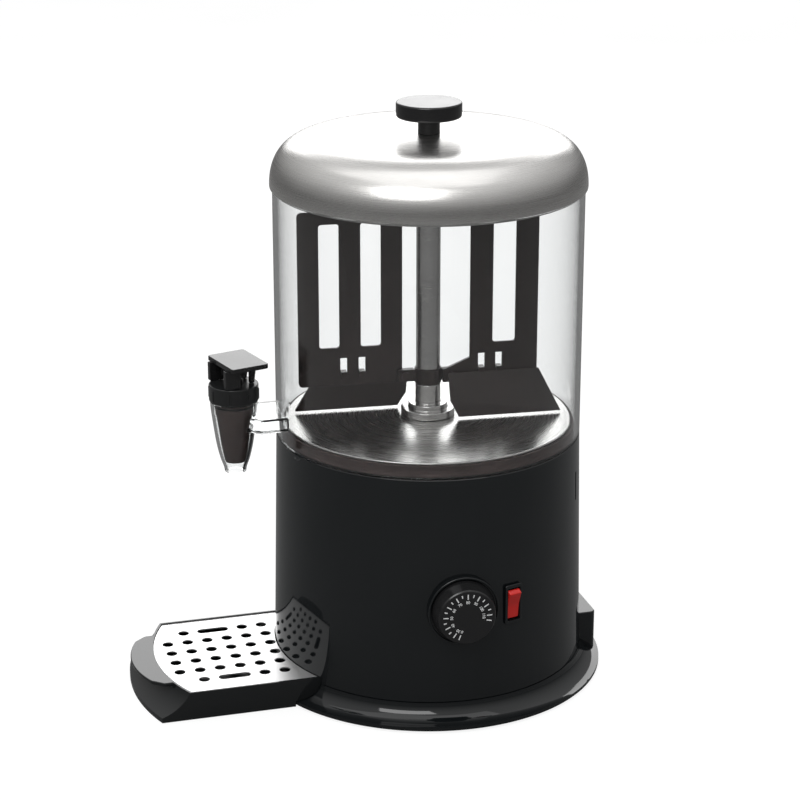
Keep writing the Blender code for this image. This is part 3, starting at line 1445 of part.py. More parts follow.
def tap_body(body, tap):
    """The clear tap: a bullet with a neck, and the flat duct that joins it to the bowl."""
    bullet = spun(
        "tap_body",
        [
            (0, TAP_NECK_TOP),
            (TAP_NECK_RADIUS, TAP_NECK_TOP),
            (TAP_NECK_RADIUS, TAP_SHOULDER_HEIGHT),
            *tap_points(),
            (0, TAP_OUTLET_HEIGHT),
        ],
        TAP_SIDES,
        "clear",
        tap,
    )
    nose_half, nose_end = (TAP_RADIUS * share for share in DUCT_NOSE_SHARES)
    duct = prism(
        "duct_shape",
        [
            (-DUCT_HALF_WIDTH, -BOWL_INNER),
            (-DUCT_HALF_WIDTH, -DUCT_STRAIGHT_END),
            (-nose_half, nose_end - TAP_REACH),
            (nose_half, nose_end - TAP_REACH),
            (DUCT_HALF_WIDTH, -DUCT_STRAIGHT_END),
            (DUCT_HALF_WIDTH, -BOWL_INNER),
        ],
        DUCT_LOW,
        DUCT_HIGH,
        None,
        body,
    )
    bowl_room = spun(
        "bowl_room",
        disc(BOWL_RADIUS + GAP, DUCT_LOW - OVERRUN, DUCT_HIGH + OVERRUN),
        LARGE_SIDES,
        None,
        body,
    )
    cut(duct, bowl_room)
    inside = tap_points(TAP_WALL)
    bore = spun(
        "tap_bore",
        [
            (0, TAP_NECK_TOP + OVERRUN),
            (TAP_BORE_RADIUS, TAP_NECK_TOP + OVERRUN),
            (TAP_BORE_RADIUS, TAP_BORE_LOW),
            *inside[2:],
            (inside[-1][0], TAP_OUTLET_HEIGHT - OVERRUN),
            (0, TAP_OUTLET_HEIGHT - OVERRUN),
        ],
        TAP_SIDES,
        None,
        tap,
    )
    half = DUCT_HALF_WIDTH - DUCT_SIDE_WALL
    nose_half, nose_end = (TAP_RADIUS * share for share in CHANNEL_NOSE_SHARES)
    channel = prism(
        "duct_channel",
        [
            (-half, -BOWL_INNER),
            (-half, -DUCT_STRAIGHT_END + DUCT_WALL),
            (-nose_half, nose_end - TAP_REACH),
            (nose_half, nose_end - TAP_REACH),
            (half, -DUCT_STRAIGHT_END + DUCT_WALL),
            (half, -BOWL_INNER),
        ],
        DUCT_LOW + DUCT_WALL,
        DUCT_HIGH - DUCT_WALL,
        None,
        body,
    )
    fuse(bullet, duct)
    cut(bullet, bore, channel)


def tap_collar(tap):
    """The black ring nut over the tap's neck, with grip ribs and the boss that guides the stem."""
    low = TAP_SHOULDER_HEIGHT + GAP
    neck = TAP_NECK_RADIUS + GAP
    bore = STEM_RADIUS + GAP
    collar = spun(
        "tap_collar",
        [
            (neck, low),
            (COLLAR_RADIUS - COLLAR_RIB_HEIGHT, low),
            (COLLAR_RADIUS - COLLAR_RIB_HEIGHT, COLLAR_TOP - COLLAR_CHAMFER),
            (COLLAR_RADIUS - COLLAR_RIB_HEIGHT - COLLAR_CHAMFER, COLLAR_TOP),
            (COLLAR_BOSS_RADIUS, COLLAR_TOP),
            (COLLAR_BOSS_RADIUS, COLLAR_BOSS_TOP),
            (bore, COLLAR_BOSS_TOP),
            (bore, COLLAR_CEILING),
            (TAP_BORE_RADIUS, COLLAR_CEILING),
            (TAP_BORE_RADIUS, TAP_NECK_TOP + GAP),
            (neck, TAP_NECK_TOP + GAP),
        ],
        TAP_SIDES,
        "gloss_black",
        tap,
    )
    bm = bmesh.new()
    half = COLLAR_RIB_WIDTH / 2
    for k in range(COLLAR_RIB_COUNT):
        turn = 2 * math.pi * (k + 0.5) / COLLAR_RIB_COUNT
        straight = [
            (TAP_NECK_RADIUS + COLLAR_RIB_HEIGHT * 2, -half),
            (COLLAR_RADIUS, -half / 2),
            (COLLAR_RADIUS, half / 2),
            (TAP_NECK_RADIUS + COLLAR_RIB_HEIGHT * 2, half),
        ]
        turned = [(x * math.cos(turn) - y * math.sin(turn), x * math.sin(turn) + y * math.cos(turn)) for x, y in straight]
        add_prism(bm, turned, low + COLLAR_CHAMFER, COLLAR_TOP - 2 * COLLAR_CHAMFER)
    ribs = finish_object("collar_ribs", bm, None, tap)
    fuse(collar, ribs)


def spring_points():
    """The centre line of the return spring, from the plug's top to the collar's ceiling."""
    low = PLUG_TOP + GAP + SPRING_WIRE_RADIUS
    high = COLLAR_CEILING - GAP - SPRING_WIRE_RADIUS
    count = SPRING_TURNS * SPRING_STEPS
    points = []
    for k in range(count + 1):
        turn = 2 * math.pi * k / SPRING_STEPS
        height = low + (high - low) * k / count
        points.append(Vector((SPRING_RADIUS * math.cos(turn), SPRING_RADIUS * math.sin(turn), height)))
    return points


def least_gap(points, wire_radius, skipped):
    """The least gap between points of a tube that are more than this many steps apart."""
    nearest = min(
        (points[i] - points[j]).length for i in range(len(points)) for j in range(i + skipped, len(points))
    )
    return nearest - 2 * wire_radius


def tap_spring(tap):
    points = spring_points()
    print("spring: least gap to itself", round(least_gap(points, SPRING_WIRE_RADIUS, SPRING_STEPS // 2), 5))
    curve = bpy.data.curves.new("tap_spring", "CURVE")
    curve.dimensions = "3D"
    curve.bevel_depth = SPRING_WIRE_RADIUS
    curve.bevel_resolution = 1
    curve.use_fill_caps = True
    spline = curve.splines.new("POLY")
    spline.points.add(len(points) - 1)
    for point, place in zip(spline.points, points):
        point.co = (*place, 1)
    curve.materials.append(material("steel"))
    obj = bpy.data.objects.new("tap_spring", curve)
    bpy.context.scene.collection.objects.link(obj)
    obj.parent = tap


def tap_plug(piston, turned):
    """The brown plug that closes the tap, its ring, the stem and the pin at the stem's head."""
    bore = STEM_RADIUS + GAP
    groove = PLUG_RADIUS - PLUG_GROOVE_DEPTH
    inside = tap_points(TAP_WALL)
    end = TAP_SHOULDER_HEIGHT - TAP_DEPTH * PLUG_END_SHARE
    spun(
        "tap_plug",
        [
            (bore, PLUG_TOP),
            (PLUG_RADIUS, PLUG_TOP),
            (PLUG_RADIUS, PLUG_GROOVE_HEIGHT + PLUG_GROOVE_HALF),
            (groove, PLUG_GROOVE_HEIGHT + PLUG_GROOVE_HALF),
            (groove, PLUG_GROOVE_HEIGHT - PLUG_GROOVE_HALF),
            (PLUG_RADIUS, PLUG_GROOVE_HEIGHT - PLUG_GROOVE_HALF),
            (PLUG_RADIUS, PLUG_STRAIGHT_LOW),
            *[(radius - PLUG_SLACK * share, height) for (radius, height), share in zip(inside[2:], PLUG_SLACK_SHARES)],
            (radius_at(inside, end) - GAP, end),
            (0, end),
            (0, STEM_LOW - GAP),
            (bore, STEM_LOW - GAP),
        ],
        TAP_SIDES,
        "mauve_rubber",
        piston,
    )
    half = PLUG_GROOVE_HALF - GAP
    inner = groove + GAP
    middle = (inner + RING_OUTER_RADIUS) / 2
    spun(
        "plug_ring",
        [
            (inner, PLUG_GROOVE_HEIGHT),
            (middle, PLUG_GROOVE_HEIGHT - half),
            (RING_OUTER_RADIUS, PLUG_GROOVE_HEIGHT),
            (middle, PLUG_GROOVE_HEIGHT + half),
        ],
        TAP_SIDES,
        "rubber",
        piston,
    )
    stem = spun("tap_stem", disc(STEM_RADIUS, STEM_LOW, STEM_HEAD_LOW + STEM_RADIUS / 2), SMALL_SIDES, "satin_black", turned)
    arc = [
        (STEM_HEAD_RADIUS * math.cos(math.pi * k / 8), PIN_HEIGHT + STEM_HEAD_RADIUS * math.sin(math.pi * k / 8))
        for k in range(9)
    ]
    outline = arc + [(-STEM_HEAD_RADIUS, STEM_HEAD_LOW), (STEM_HEAD_RADIUS, STEM_HEAD_LOW)]
    head = prism("stem_head_shape", outline, -STEM_HEAD_HALF_WIDTH, STEM_HEAD_HALF_WIDTH, None, turned, axis="X")
    pin_hole = prism(
        "pin_hole",
        circle(PIN_RADIUS + GAP, SCREW_SIDES, (0, PIN_HEIGHT)),
        -STEM_HEAD_HALF_WIDTH - OVERRUN,
        STEM_HEAD_HALF_WIDTH + OVERRUN,
        None,
        turned,
        axis="X",
    )
    fuse(stem, head)
    cut(stem, pin_hole)
    prism(
        "lever_pin",
        circle(PIN_RADIUS, SCREW_SIDES, (0, PIN_HEIGHT)),
        -PIN_HALF_LENGTH,
        PIN_HALF_LENGTH,
        "steel",
        turned,
        axis="X",
    )


def tap_lever(lever):
    """The flat pad with a wall under each side, and two cheeks with the pin's eye and a rear leg."""
    pad_low = PAD_TOP_HEIGHT - PAD_THICKNESS
    lap = pad_low + CHEEK_LAP
    seat = COLLAR_TOP + GAP
    outline = rounded(box_outline(PAD_LENGTH / 2, PAD_WIDTH / 2, (0, PAD_OFFSET)), PAD_CORNER)
    pad = prism("tap_lever", outline, pad_low, PAD_TOP_HEIGHT, "gloss_black", lever)
    cheek = [
        (-CHEEK_MIDDLE_HALF, lap),
        (-CHEEK_MIDDLE_HALF, CHEEK_MIDDLE_LOW),
        (CHEEK_MIDDLE_HALF, CHEEK_MIDDLE_LOW),
        (CHEEK_MIDDLE_HALF + CHEEK_SLOPE, CHEEK_NOTCH_HEIGHT),
        (LEG_TOP_SPAN[0], CHEEK_NOTCH_HEIGHT),
        (LEG_TIP_SPAN[0], seat),
        (LEG_TIP_SPAN[1], seat),
        (LEG_TOP_SPAN[1], lap),
    ]
    side = [(SIDE_SPAN[0], lap), (SIDE_SPAN[0], seat), (SIDE_SPAN[1], seat), (SIDE_SPAN[1], lap)]
    side = rounded(side, SIDE_ROUND, corners=(1, 2))
    bm = bmesh.new()
    for turned in (-1, 1):
        add_prism(bm, cheek, *sorted((turned * CHEEK_INNER, turned * CHEEK_OUTER)), "X")
        add_prism(bm, side, *sorted((turned * SIDE_INNER, turned * SIDE_OUTER)), "X")
    cheeks = finish_object("lever_cheeks", bm, None, lever)
    eye = prism(
        "lever_eye",
        circle(PIN_RADIUS + GAP, SCREW_SIDES, (0, PIN_HEIGHT)),
        -CHEEK_OUTER - OVERRUN,
        CHEEK_OUTER + OVERRUN,
        None,
        lever,
        axis="X",
    )
    fuse(pad, cheeks)
    cut(pad, eye)


def dome_points(radius, rise, steps):
    """The lid's outline from the rim up to the middle: a flat crown that turns down over a round shoulder."""
    points = []
    for k in range(steps + 1):
        turn = math.pi / 2 * k / steps
        out = radius * math.cos(turn) ** (2 / LID_RIM_POWER)
        up = rise * math.sin(turn) ** (2 / LID_RISE_POWER)
        points.append((out, LID_SHOULDER_HEIGHT + up))
    return points


def lid(body):
    """The spun steel lid with its turned-in rim, the black knob and the screw that holds it."""
    rise = LID_TOP_HEIGHT - LID_SHOULDER_HEIGHT
    outer = dome_points(LID_RADIUS, rise, LID_STEPS)
    inner = dome_points(LID_RADIUS - LID_SHEET, rise - LID_SHEET, LID_STEPS)
    outer[-1] = (LID_BORE_RADIUS, outer[-1][1])
    inner[-1] = (LID_BORE_RADIUS, inner[-1][1])
    rim = LID_RIM_HEIGHT
    outline = [
        *outer,
        *reversed(inner),
        (LID_LIP_RADIUS - LID_SHEET, rim + LID_SHEET),
        (LID_LIP_RADIUS - LID_SHEET, rim - LID_LIP_DROP),
        (LID_LIP_RADIUS, rim - LID_LIP_DROP),
        (LID_LIP_RADIUS, rim),
        (LID_RADIUS - LID_SHEET / 2, rim),
    ]
    spun("lid_dome", outline, LARGE_SIDES, "steel", body)

    stem_low = LID_TOP_HEIGHT + GAP
    bore = KNOB_SCREW_RADIUS + GAP
    screw_low = LID_TOP_HEIGHT - LID_SHEET - GAP
    screw_high = LID_TOP_HEIGHT + KNOB_STEM_HEIGHT * KNOB_BITE_SHARE
    spun(
        "lid_knob",
        [
            (bore, stem_low),
            (KNOB_STEM_RADIUS, stem_low),
            (KNOB_STEM_RADIUS, KNOB_LOW),
            (KNOB_RADIUS - KNOB_ROUND / 2, KNOB_LOW),
            (KNOB_RADIUS, KNOB_LOW + KNOB_ROUND / 2),
            (KNOB_RADIUS, KNOB_TOP - KNOB_ROUND),
            (KNOB_RADIUS - KNOB_ROUND / 4, KNOB_TOP - KNOB_ROUND / 4),
            (KNOB_RADIUS - KNOB_ROUND, KNOB_TOP),
            (0, KNOB_TOP),
            (0, screw_high + GAP),
            (bore, screw_high + GAP),
        ],
        TAP_SIDES,
        "gloss_black",
        body,
    )
    spun(
        "knob_screw",
        [
            (0, screw_low - KNOB_SCREW_HEAD_HEIGHT),
            (KNOB_SCREW_HEAD_RADIUS, screw_low - KNOB_SCREW_HEAD_HEIGHT),
            (KNOB_SCREW_HEAD_RADIUS, screw_low),
            (KNOB_SCREW_RADIUS, screw_low),
            (KNOB_SCREW_RADIUS, screw_high),
            (0, screw_high),
        ],
        SMALL_SIDES,
        "dull_steel",
        body,
    )


def flatted(radius, flat, sides):
    """A round outline with one flat, on its +X side."""
    half = math.acos(flat / radius)
    return [
        (radius * math.cos(half + (2 * math.pi - 2 * half) * k / sides), radius * math.sin(half + (2 * math.pi - 2 * half) * k / sides))
        for k in range(sides + 1)
    ]


def drive(agitator):
    """Motor shaft, coupling and drive shaft, which turn with the agitator."""
    coupling_split = DRIVE_SHAFT_LOW - RUNNING_GAP
    spun("motor_shaft", disc(MOTOR_SHAFT_RADIUS, MOTOR_SHAFT_LOW, coupling_split), SMALL_SIDES, "steel", agitator)
    spun(
        "shaft_coupling",
        [
            (MOTOR_SHAFT_RADIUS + GAP, COUPLING_LOW),
            (COUPLING_RADIUS, COUPLING_LOW),
            (COUPLING_RADIUS, COUPLING_TOP),
            (DRIVE_SHAFT_RADIUS + GAP, COUPLING_TOP),
            (DRIVE_SHAFT_RADIUS + GAP, coupling_split),
            (MOTOR_SHAFT_RADIUS + GAP, coupling_split),
        ],
        SMALL_SIDES,
        "dull_steel",
        agitator,
    )
    shaft = spun("drive_shaft", disc(DRIVE_SHAFT_RADIUS, DRIVE_SHAFT_LOW, DRIVE_SHAFT_TOP), SMALL_SIDES, "steel", agitator)
    flat = prism(
        "shaft_flat",
        [
            (DRIVE_SHAFT_FLAT, -DRIVE_SHAFT_RADIUS - OVERRUN),
            (DRIVE_SHAFT_RADIUS + OVERRUN, -DRIVE_SHAFT_RADIUS - OVERRUN),
            (DRIVE_SHAFT_RADIUS + OVERRUN, DRIVE_SHAFT_RADIUS + OVERRUN),
            (DRIVE_SHAFT_FLAT, DRIVE_SHAFT_RADIUS + OVERRUN),
        ],
        FLAT_LOW,
        DRIVE_SHAFT_TOP + OVERRUN,
        None,
        agitator,
    )
    cut(shaft, flat)


def agitator_hub(plane):
    """The hub with its two lugs, the steel tube that stands on it, and the tube's cap."""
    hub = spun("agitator_hub", disc(HUB_RADIUS, HUB_LOW, HUB_HIGH), TAP_SIDES, "dark_brown", plane)
    near = PADDLE_OFFSET - PADDLE_THICKNESS / 2 - GAP
    bm = bmesh.new()
    for side in (-1, 1):
        across = sorted((side * (near - LUG_THICKNESS), side * near))
        outline = [(side * TUBE_RADIUS / 2, LUG_LOW), (side * LUG_REACH, LUG_LOW), (side * LUG_REACH, LUG_HIGH), (side * TUBE_RADIUS / 2, LUG_HIGH)]
        add_prism(bm, outline, across[0], across[1], "X")
    lugs = finish_object("hub_lugs", bm, None, plane)
    bore = prism(
        "hub_bore",
        flatted(DRIVE_SHAFT_RADIUS + GAP, DRIVE_SHAFT_FLAT + GAP, SMALL_SIDES),
        HUB_LOW - OVERRUN,
        HUB_HIGH + OVERRUN,
        None,
        plane.parent,
    )
    fuse(hub, lugs)
    cut(hub, bore, rivet_holes(plane, "hub_rivet_holes"))
    low = HUB_HIGH + GAP
    spun("agitator_tube", ring(TUBE_RADIUS - TUBE_WALL, TUBE_RADIUS, low, TUBE_TOP), TAP_SIDES, "steel", plane)
    plug = TUBE_RADIUS - TUBE_WALL - GAP
    spun(
        "tube_cap",
        [
            (0, TUBE_TOP - TUBE_PLUG_LENGTH),
            (plug, TUBE_TOP - TUBE_PLUG_LENGTH),
            (plug, TUBE_TOP + GAP),
            (TUBE_RADIUS, TUBE_TOP + GAP),
            (TUBE_RADIUS - GAP, TUBE_TOP + TUBE_CAP_HEIGHT),
            (0, TUBE_TOP + TUBE_CAP_HEIGHT),
        ],
        TAP_SIDES,
        "dark_brown",
        plane,
    )


def rivet_holes(plane, name):
    bm = bmesh.new()
    reach = PADDLE_OFFSET + PADDLE_THICKNESS + OVERRUN
    for side in (-1, 1):
        add_prism(bm, circle(RIVET_RADIUS + GAP, 8, (side * RIVET_PLACE, RIVET_HEIGHT)), -reach, reach, "X")
    return finish_object(name, bm, None, plane)


def rivet(name, side, plane):
    """The rivet that holds a paddle's arm to the hub's lug, flush on the blade's side."""
    near = PADDLE_OFFSET - PADDLE_THICKNESS / 2 - GAP
    back = near - LUG_THICKNESS - GAP
    flush = PADDLE_OFFSET + PADDLE_THICKNESS / 2 - GAP
    centre = (side * RIVET_PLACE, RIVET_HEIGHT)
    shank = circle(RIVET_RADIUS, 8, centre)
    head = circle(RIVET_HEAD_RADIUS, 8, centre)
    levels = ((head, back - RIVET_HEAD_HEIGHT), (head, back), (shank, back), (shank, flush))
    loft(name, [[(side * depth, y, z) for y, z in outline] for outline, depth in levels], "dark_brown", plane)


def paddle(name, side, bar_shares, tab_shares, arm_high, plane):
    """One flat paddle with its arm, the tall slots between its bars and the small slots for the blade's hooks."""
    bars = [[BOWL_INNER * share for share in edges] for edges in bar_shares]
    inner = bars[0][0]
    outer = bars[-1][1]
    arm_end = HUB_RADIUS + GAP
    arm_top = max(arm_high, ARM_HIGH)
    outline = [
        (side * arm_end, PADDLE_LOW + PADDLE_CORNER / 2),
        (side * outer, PADDLE_LOW + PADDLE_CORNER / 2),
        (side * outer, PADDLE_TOP),
        (side * inner, PADDLE_TOP),
        (side * inner, arm_top),
        (side * arm_end, ARM_HIGH),
    ]
    outline = rounded(outline, PADDLE_CORNER, 2, corners=(1, 2, 3))
    middle = side * PADDLE_OFFSET
    low, high = middle - PADDLE_THICKNESS / 2, middle + PADDLE_THICKNESS / 2
    plate = prism(name, outline, low, high, "dark_brown", plane, axis="X")
    bm = bmesh.new()
    for left, right in zip(bars, bars[1:]):
        slot = [
            (side * left[1], PADDLE_SLOT_LOW),
            (side * right[0], PADDLE_SLOT_LOW),
            (side * right[0], PADDLE_TOP - PADDLE_BRIDGE),
            (side * left[1], PADDLE_TOP - PADDLE_BRIDGE),
        ]
        add_prism(bm, rounded(slot, PADDLE_SLOT_ROUND, 2), low - OVERRUN, high + OVERRUN, "X")
    for share in tab_shares:
        centre = (side * BOWL_INNER * share, (TAB_SLOT_LOW + TAB_SLOT_HIGH) / 2)
        outline = box_outline(TAB_SLOT_WIDTH / 2, (TAB_SLOT_HIGH - TAB_SLOT_LOW) / 2, centre)
        add_prism(bm, rounded(outline, PADDLE_SLOT_ROUND / 5, 1), low - OVERRUN, high + OVERRUN, "X")
    slots = finish_object(name + "_slots", bm, None, plane)
    cut(plate, slots, rivet_holes(plane, name + "_rivet_holes"))


def scraper(name, tab_shares, half_turn, plane):
    """A sloping blade that sweeps the pan. Two hooks at its top hang in the paddle's small slots."""
    own = frame(name + "_side", (0, 0, 0), (0, 0, half_turn), plane)
    top_offset = PADDLE_OFFSET + PADDLE_THICKNESS / 2 + GAP
    slope = Vector((BLADE_FOOT_OFFSET - top_offset, 0, BLADE_FOOT_HEIGHT - BLADE_TOP_HEIGHT))
    top_inner, top_outer = (BOWL_INNER * share for share in BLADE_TOP_SHARES)
    foot_inner, foot_outer = (BOWL_INNER * share for share in BLADE_FOOT_SHARES)
    outline = [
        (top_inner, 0),
        (top_outer, 0),
        (foot_outer, 1),
        (foot_inner, 1),
        (top_inner, BLADE_CHAMFER_SHARE),
    ]
    bm = bmesh.new()
    start = Vector((top_offset, 0, BLADE_TOP_HEIGHT))
    face = bm.faces.new([bm.verts.new(start + slope * down + Vector((0, along, 0))) for along, down in outline])
    grown = bmesh.ops.extrude_face_region(bm, geom=[face])["geom"]
    moved = [item for item in grown if isinstance(item, bmesh.types.BMVert)]
    thick = Vector((-slope.z, 0, slope.x)).normalized() * BLADE_THICKNESS
    bmesh.ops.translate(bm, vec=thick, verts=moved)
    blade = finish_object(name, bm, "dark_brown", own)
    through = PADDLE_OFFSET - PADDLE_THICKNESS / 2 - GAP
    seat = TAB_SLOT_LOW + GAP
    profile = [
        (top_offset + BLADE_THICKNESS, BLADE_TOP_HEIGHT - HOOK_THICKNESS / 2),
        (top_offset + BLADE_THICKNESS, seat + HOOK_THICKNESS),
        (through - HOOK_THICKNESS, seat + HOOK_THICKNESS),
        (through - HOOK_THICKNESS, seat - HOOK_DROP),
        (through, seat - HOOK_DROP),
        (through, seat),
        (top_offset, seat),
        (top_offset, BLADE_TOP_HEIGHT - HOOK_THICKNESS / 2),
    ]
    bm = bmesh.new()
    for share in tab_shares:
        tab = BOWL_INNER * share
        add_prism(bm, profile, tab - HOOK_WIDTH / 2, tab + HOOK_WIDTH / 2, "Y")
    hooks = finish_object(name + "_hooks", bm, None, own)
    fuse(blade, hooks)


def arc_across(half_width, middle, side, steps):
    """Points from +X to -X on the arc through (half_width, -side), (0, -middle) and (-half_width, -side)."""
    sag = middle - side
    radius = (half_width**2 + sag**2) / (2 * sag)
    widest = math.asin(half_width / radius)
    points = []
    for k in range(steps + 1):
        turn = widest * (1 - 2 * k / steps)
        points.append((radius * math.sin(turn), -(middle - radius + radius * math.cos(turn))))
    return points


def tray_outline(half_width, reach):
    back = BASE_RADIUS * TRAY_BACK_SHARE
    return [(-half_width, -back), (half_width, -back), *arc_across(half_width, *reach, TRAY_ARC_STEPS)]


def drip_tray(tray):
    """The moulded tray: a coved front like the base's skirt, a thumb lip, a basin and a seat for the grid."""
    levels = [(TRAY_LIFT, TRAY_FOOT_HALF_WIDTH, TRAY_FOOT_REACH)]
    for k in range(TRAY_COVE_STEPS + 1):
        share = 1 - k / TRAY_COVE_STEPS
        bow = TRAY_COVE_BOW * 4 * share * (1 - share) / math.sqrt(2)
        height = TRAY_TOP_HEIGHT + (TRAY_FOOT_HEIGHT - TRAY_TOP_HEIGHT) * share - bow
        half_width = TRAY_HALF_WIDTH + (TRAY_FOOT_HALF_WIDTH - TRAY_HALF_WIDTH) * share
        reach = [top + (foot - top) * share - bow for top, foot in zip(TRAY_TOP_REACH, TRAY_FOOT_REACH)]
        levels.append((height, half_width, reach))
    loops = [[(x, y, height) for x, y in tray_outline(half, reach)] for height, half, reach in levels]
    body = loft("drip_tray", loops, "gloss_black", tray)

    bend = arc_across(LIP_BEND_HALF_WIDTH, TRAY_FOOT_REACH[0], LIP_BEND_REACH, TRAY_ARC_STEPS)
    lip_outline = [
        (LIP_HALF_WIDTH, -LIP_ROOT_REACH),
        (LIP_HALF_WIDTH, -LIP_SIDE_REACH),
        *bend,
        (-LIP_HALF_WIDTH, -LIP_SIDE_REACH),
        (-LIP_HALF_WIDTH, -LIP_ROOT_REACH),
    ]
    lip = prism("lip_shape", lip_outline, TRAY_TOP_HEIGHT - LIP_THICKNESS, TRAY_TOP_HEIGHT, None, tray)

    seat = GRID_TOP_HEIGHT - GRID_THICKNESS - GAP
    recess_reach = [reach - TRAY_RIM for reach in TRAY_TOP_REACH]
    recess = prism(
        "grid_recess",
        tray_outline(TRAY_HALF_WIDTH - TRAY_RIM, recess_reach),
        seat,
        TRAY_TOP_HEIGHT + OVERRUN,
        None,
        tray,
    )
    basin_reach = [reach - TRAY_WALL for reach in TRAY_TOP_REACH]
    basin_outline = tray_outline(TRAY_HALF_WIDTH - TRAY_WALL, basin_reach)
    basin = prism("tray_basin", basin_outline, TRAY_LIFT + TRAY_FLOOR, TRAY_TOP_HEIGHT + OVERRUN, None, tray)
    wall = TRAY_SKIRT_GAP + TRAY_BACK_WALL
    cut(basin, body_cutter("tray_back_wall", tray, wall, wall))

    pocket_reach = [reach - NOSE_POCKET_WALL for reach in TRAY_FOOT_REACH]
    pocket_half = TRAY_FOOT_HALF_WIDTH - NOSE_POCKET_WALL
    front = arc_across(pocket_half, *pocket_reach, TRAY_ARC_STEPS)
    back = arc_across(pocket_half, *TRAY_TOP_REACH, TRAY_ARC_STEPS)
    pocket = prism("nose_pocket", front + back[::-1], TRAY_LIFT - OVERRUN, NOSE_POCKET_HEIGHT, None, tray)
    fuse(body, lip)
    cut(body, body_cutter("tray_back", tray, TRAY_SKIRT_GAP, TRAY_HOUSING_GAP), recess, basin, pocket)


def drip_grid(grid):
    """The perforated steel grid: rows of round holes, with a long slot in each outer row."""
    half = TRAY_HALF_WIDTH - TRAY_RIM - GAP
    reach = [value - TRAY_RIM - GAP for value in TRAY_TOP_REACH]
    low = GRID_TOP_HEIGHT - GRID_THICKNESS
    back = housing_radius(low) + TRAY_HOUSING_GAP + GAP
    widest = math.asin(half / back)
    rear = []
    for k in range(TRAY_ARC_STEPS + 1):
        turn = widest * (2 * k / TRAY_ARC_STEPS - 1)
        rear.append((back * math.sin(turn), -back * math.cos(turn)))
    outline = rear + arc_across(half, *reach, TRAY_ARC_STEPS)
    plate = prism("drip_grid", outline, low, GRID_TOP_HEIGHT, "steel", grid)
    bm = bmesh.new()
    last_row = GRID_ROWS - 1
    for row in range(GRID_ROWS):
        x = (row - last_row / 2) * GRID_ROW_PITCH
        for column in range(GRID_COLUMNS):
            y = -GRID_FRONT_HOLE + column * GRID_COLUMN_PITCH
            if row in (0, last_row) and column in (0, 2, 3):
                continue
            add_prism(bm, circle(GRID_HOLE_RADIUS, GRID_HOLE_SIDES, (x, y)), low - OVERRUN, GRID_TOP_HEIGHT + OVERRUN)
    for side in (-1, 1):
        centre = (side * last_row / 2 * GRID_ROW_PITCH, -GRID_FRONT_HOLE + 2.5 * GRID_COLUMN_PITCH)
        outline = slot_outline(GRID_SLOT_LENGTH, GRID_SLOT_WIDTH, centre)
        add_prism(bm, outline, low - OVERRUN, GRID_TOP_HEIGHT + OVERRUN)
    holes = finish_object("grid_holes", bm, None, grid)
    cut(plate, holes)


def build():
    clear_scene()
    machine = frame("machine", (0, AXIS_Y, 0))
    dial = frame("dial_side", (0, 0, DIAL_HEIGHT), outward(DIAL_TURN), machine)
    rocker = frame("rocker_side", (0, 0, ROCKER_HEIGHT), outward(ROCKER_TURN), machine)
    base_moulding(machine)
    bottom_cover(machine)
    cord_gland(machine)
    housing_shell(machine, dial, rocker)
    deck_and_pan(machine)
    heater(machine)
    sensor(machine)
    riser(machine)
    motor(machine)
    terminal_block(machine)
    thermostat(dial)
    rocker_frame(rocker)
    dial_knob(frame("dial_axis", parent=dial))
    rocker_key(frame("rocker_pivot", (0, 0, ROCKER_PIVOT), parent=rocker))

    bowl = frame("bowl", parent=machine)
    tap = frame("tap", (0, -TAP_REACH, 0), parent=bowl)
    bowl_wall(bowl)
    tap_body(bowl, tap)
    tap_collar(tap)
    tap_spring(tap)
    piston = frame("piston", parent=tap)
    turned = frame("piston_turned", rotation=(0, 0, LEVER_TURN), parent=piston)
    tap_plug(piston, turned)
    tap_lever(frame("lever", parent=turned))
    lid(frame("lid", parent=bowl))

    agitator = frame("agitator", rotation=(0, 0, AGITATOR_TURN), parent=machine)
    drive(agitator)
    plane = frame("paddle_plane", parent=agitator)
    agitator_hub(plane)
    rivet("rivet_narrow", 1, plane)
    rivet("rivet_wide", -1, plane)
    paddle("paddle_narrow", 1, NARROW_BAR_SHARES, NARROW_TAB_SHARES, NARROW_ARM_HIGH, plane)
    paddle("paddle_wide", -1, WIDE_BAR_SHARES, WIDE_TAB_SHARES, ARM_HIGH, plane)
    scraper("scraper_narrow", NARROW_TAB_SHARES, 0, plane)
    scraper("scraper_wide", WIDE_TAB_SHARES, math.pi, plane)

    tray = frame("tray", parent=machine)
    drip_tray(tray)
    drip_grid(frame("grid", parent=tray))
    bpy.context.view_layer.update()


build()
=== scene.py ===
"""Hot chocolate dispenser: what shows of it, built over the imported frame. Metres, +Z up."""

import json
import math

import bmesh
import bpy
from mathutils import Euler, Matrix, Vector


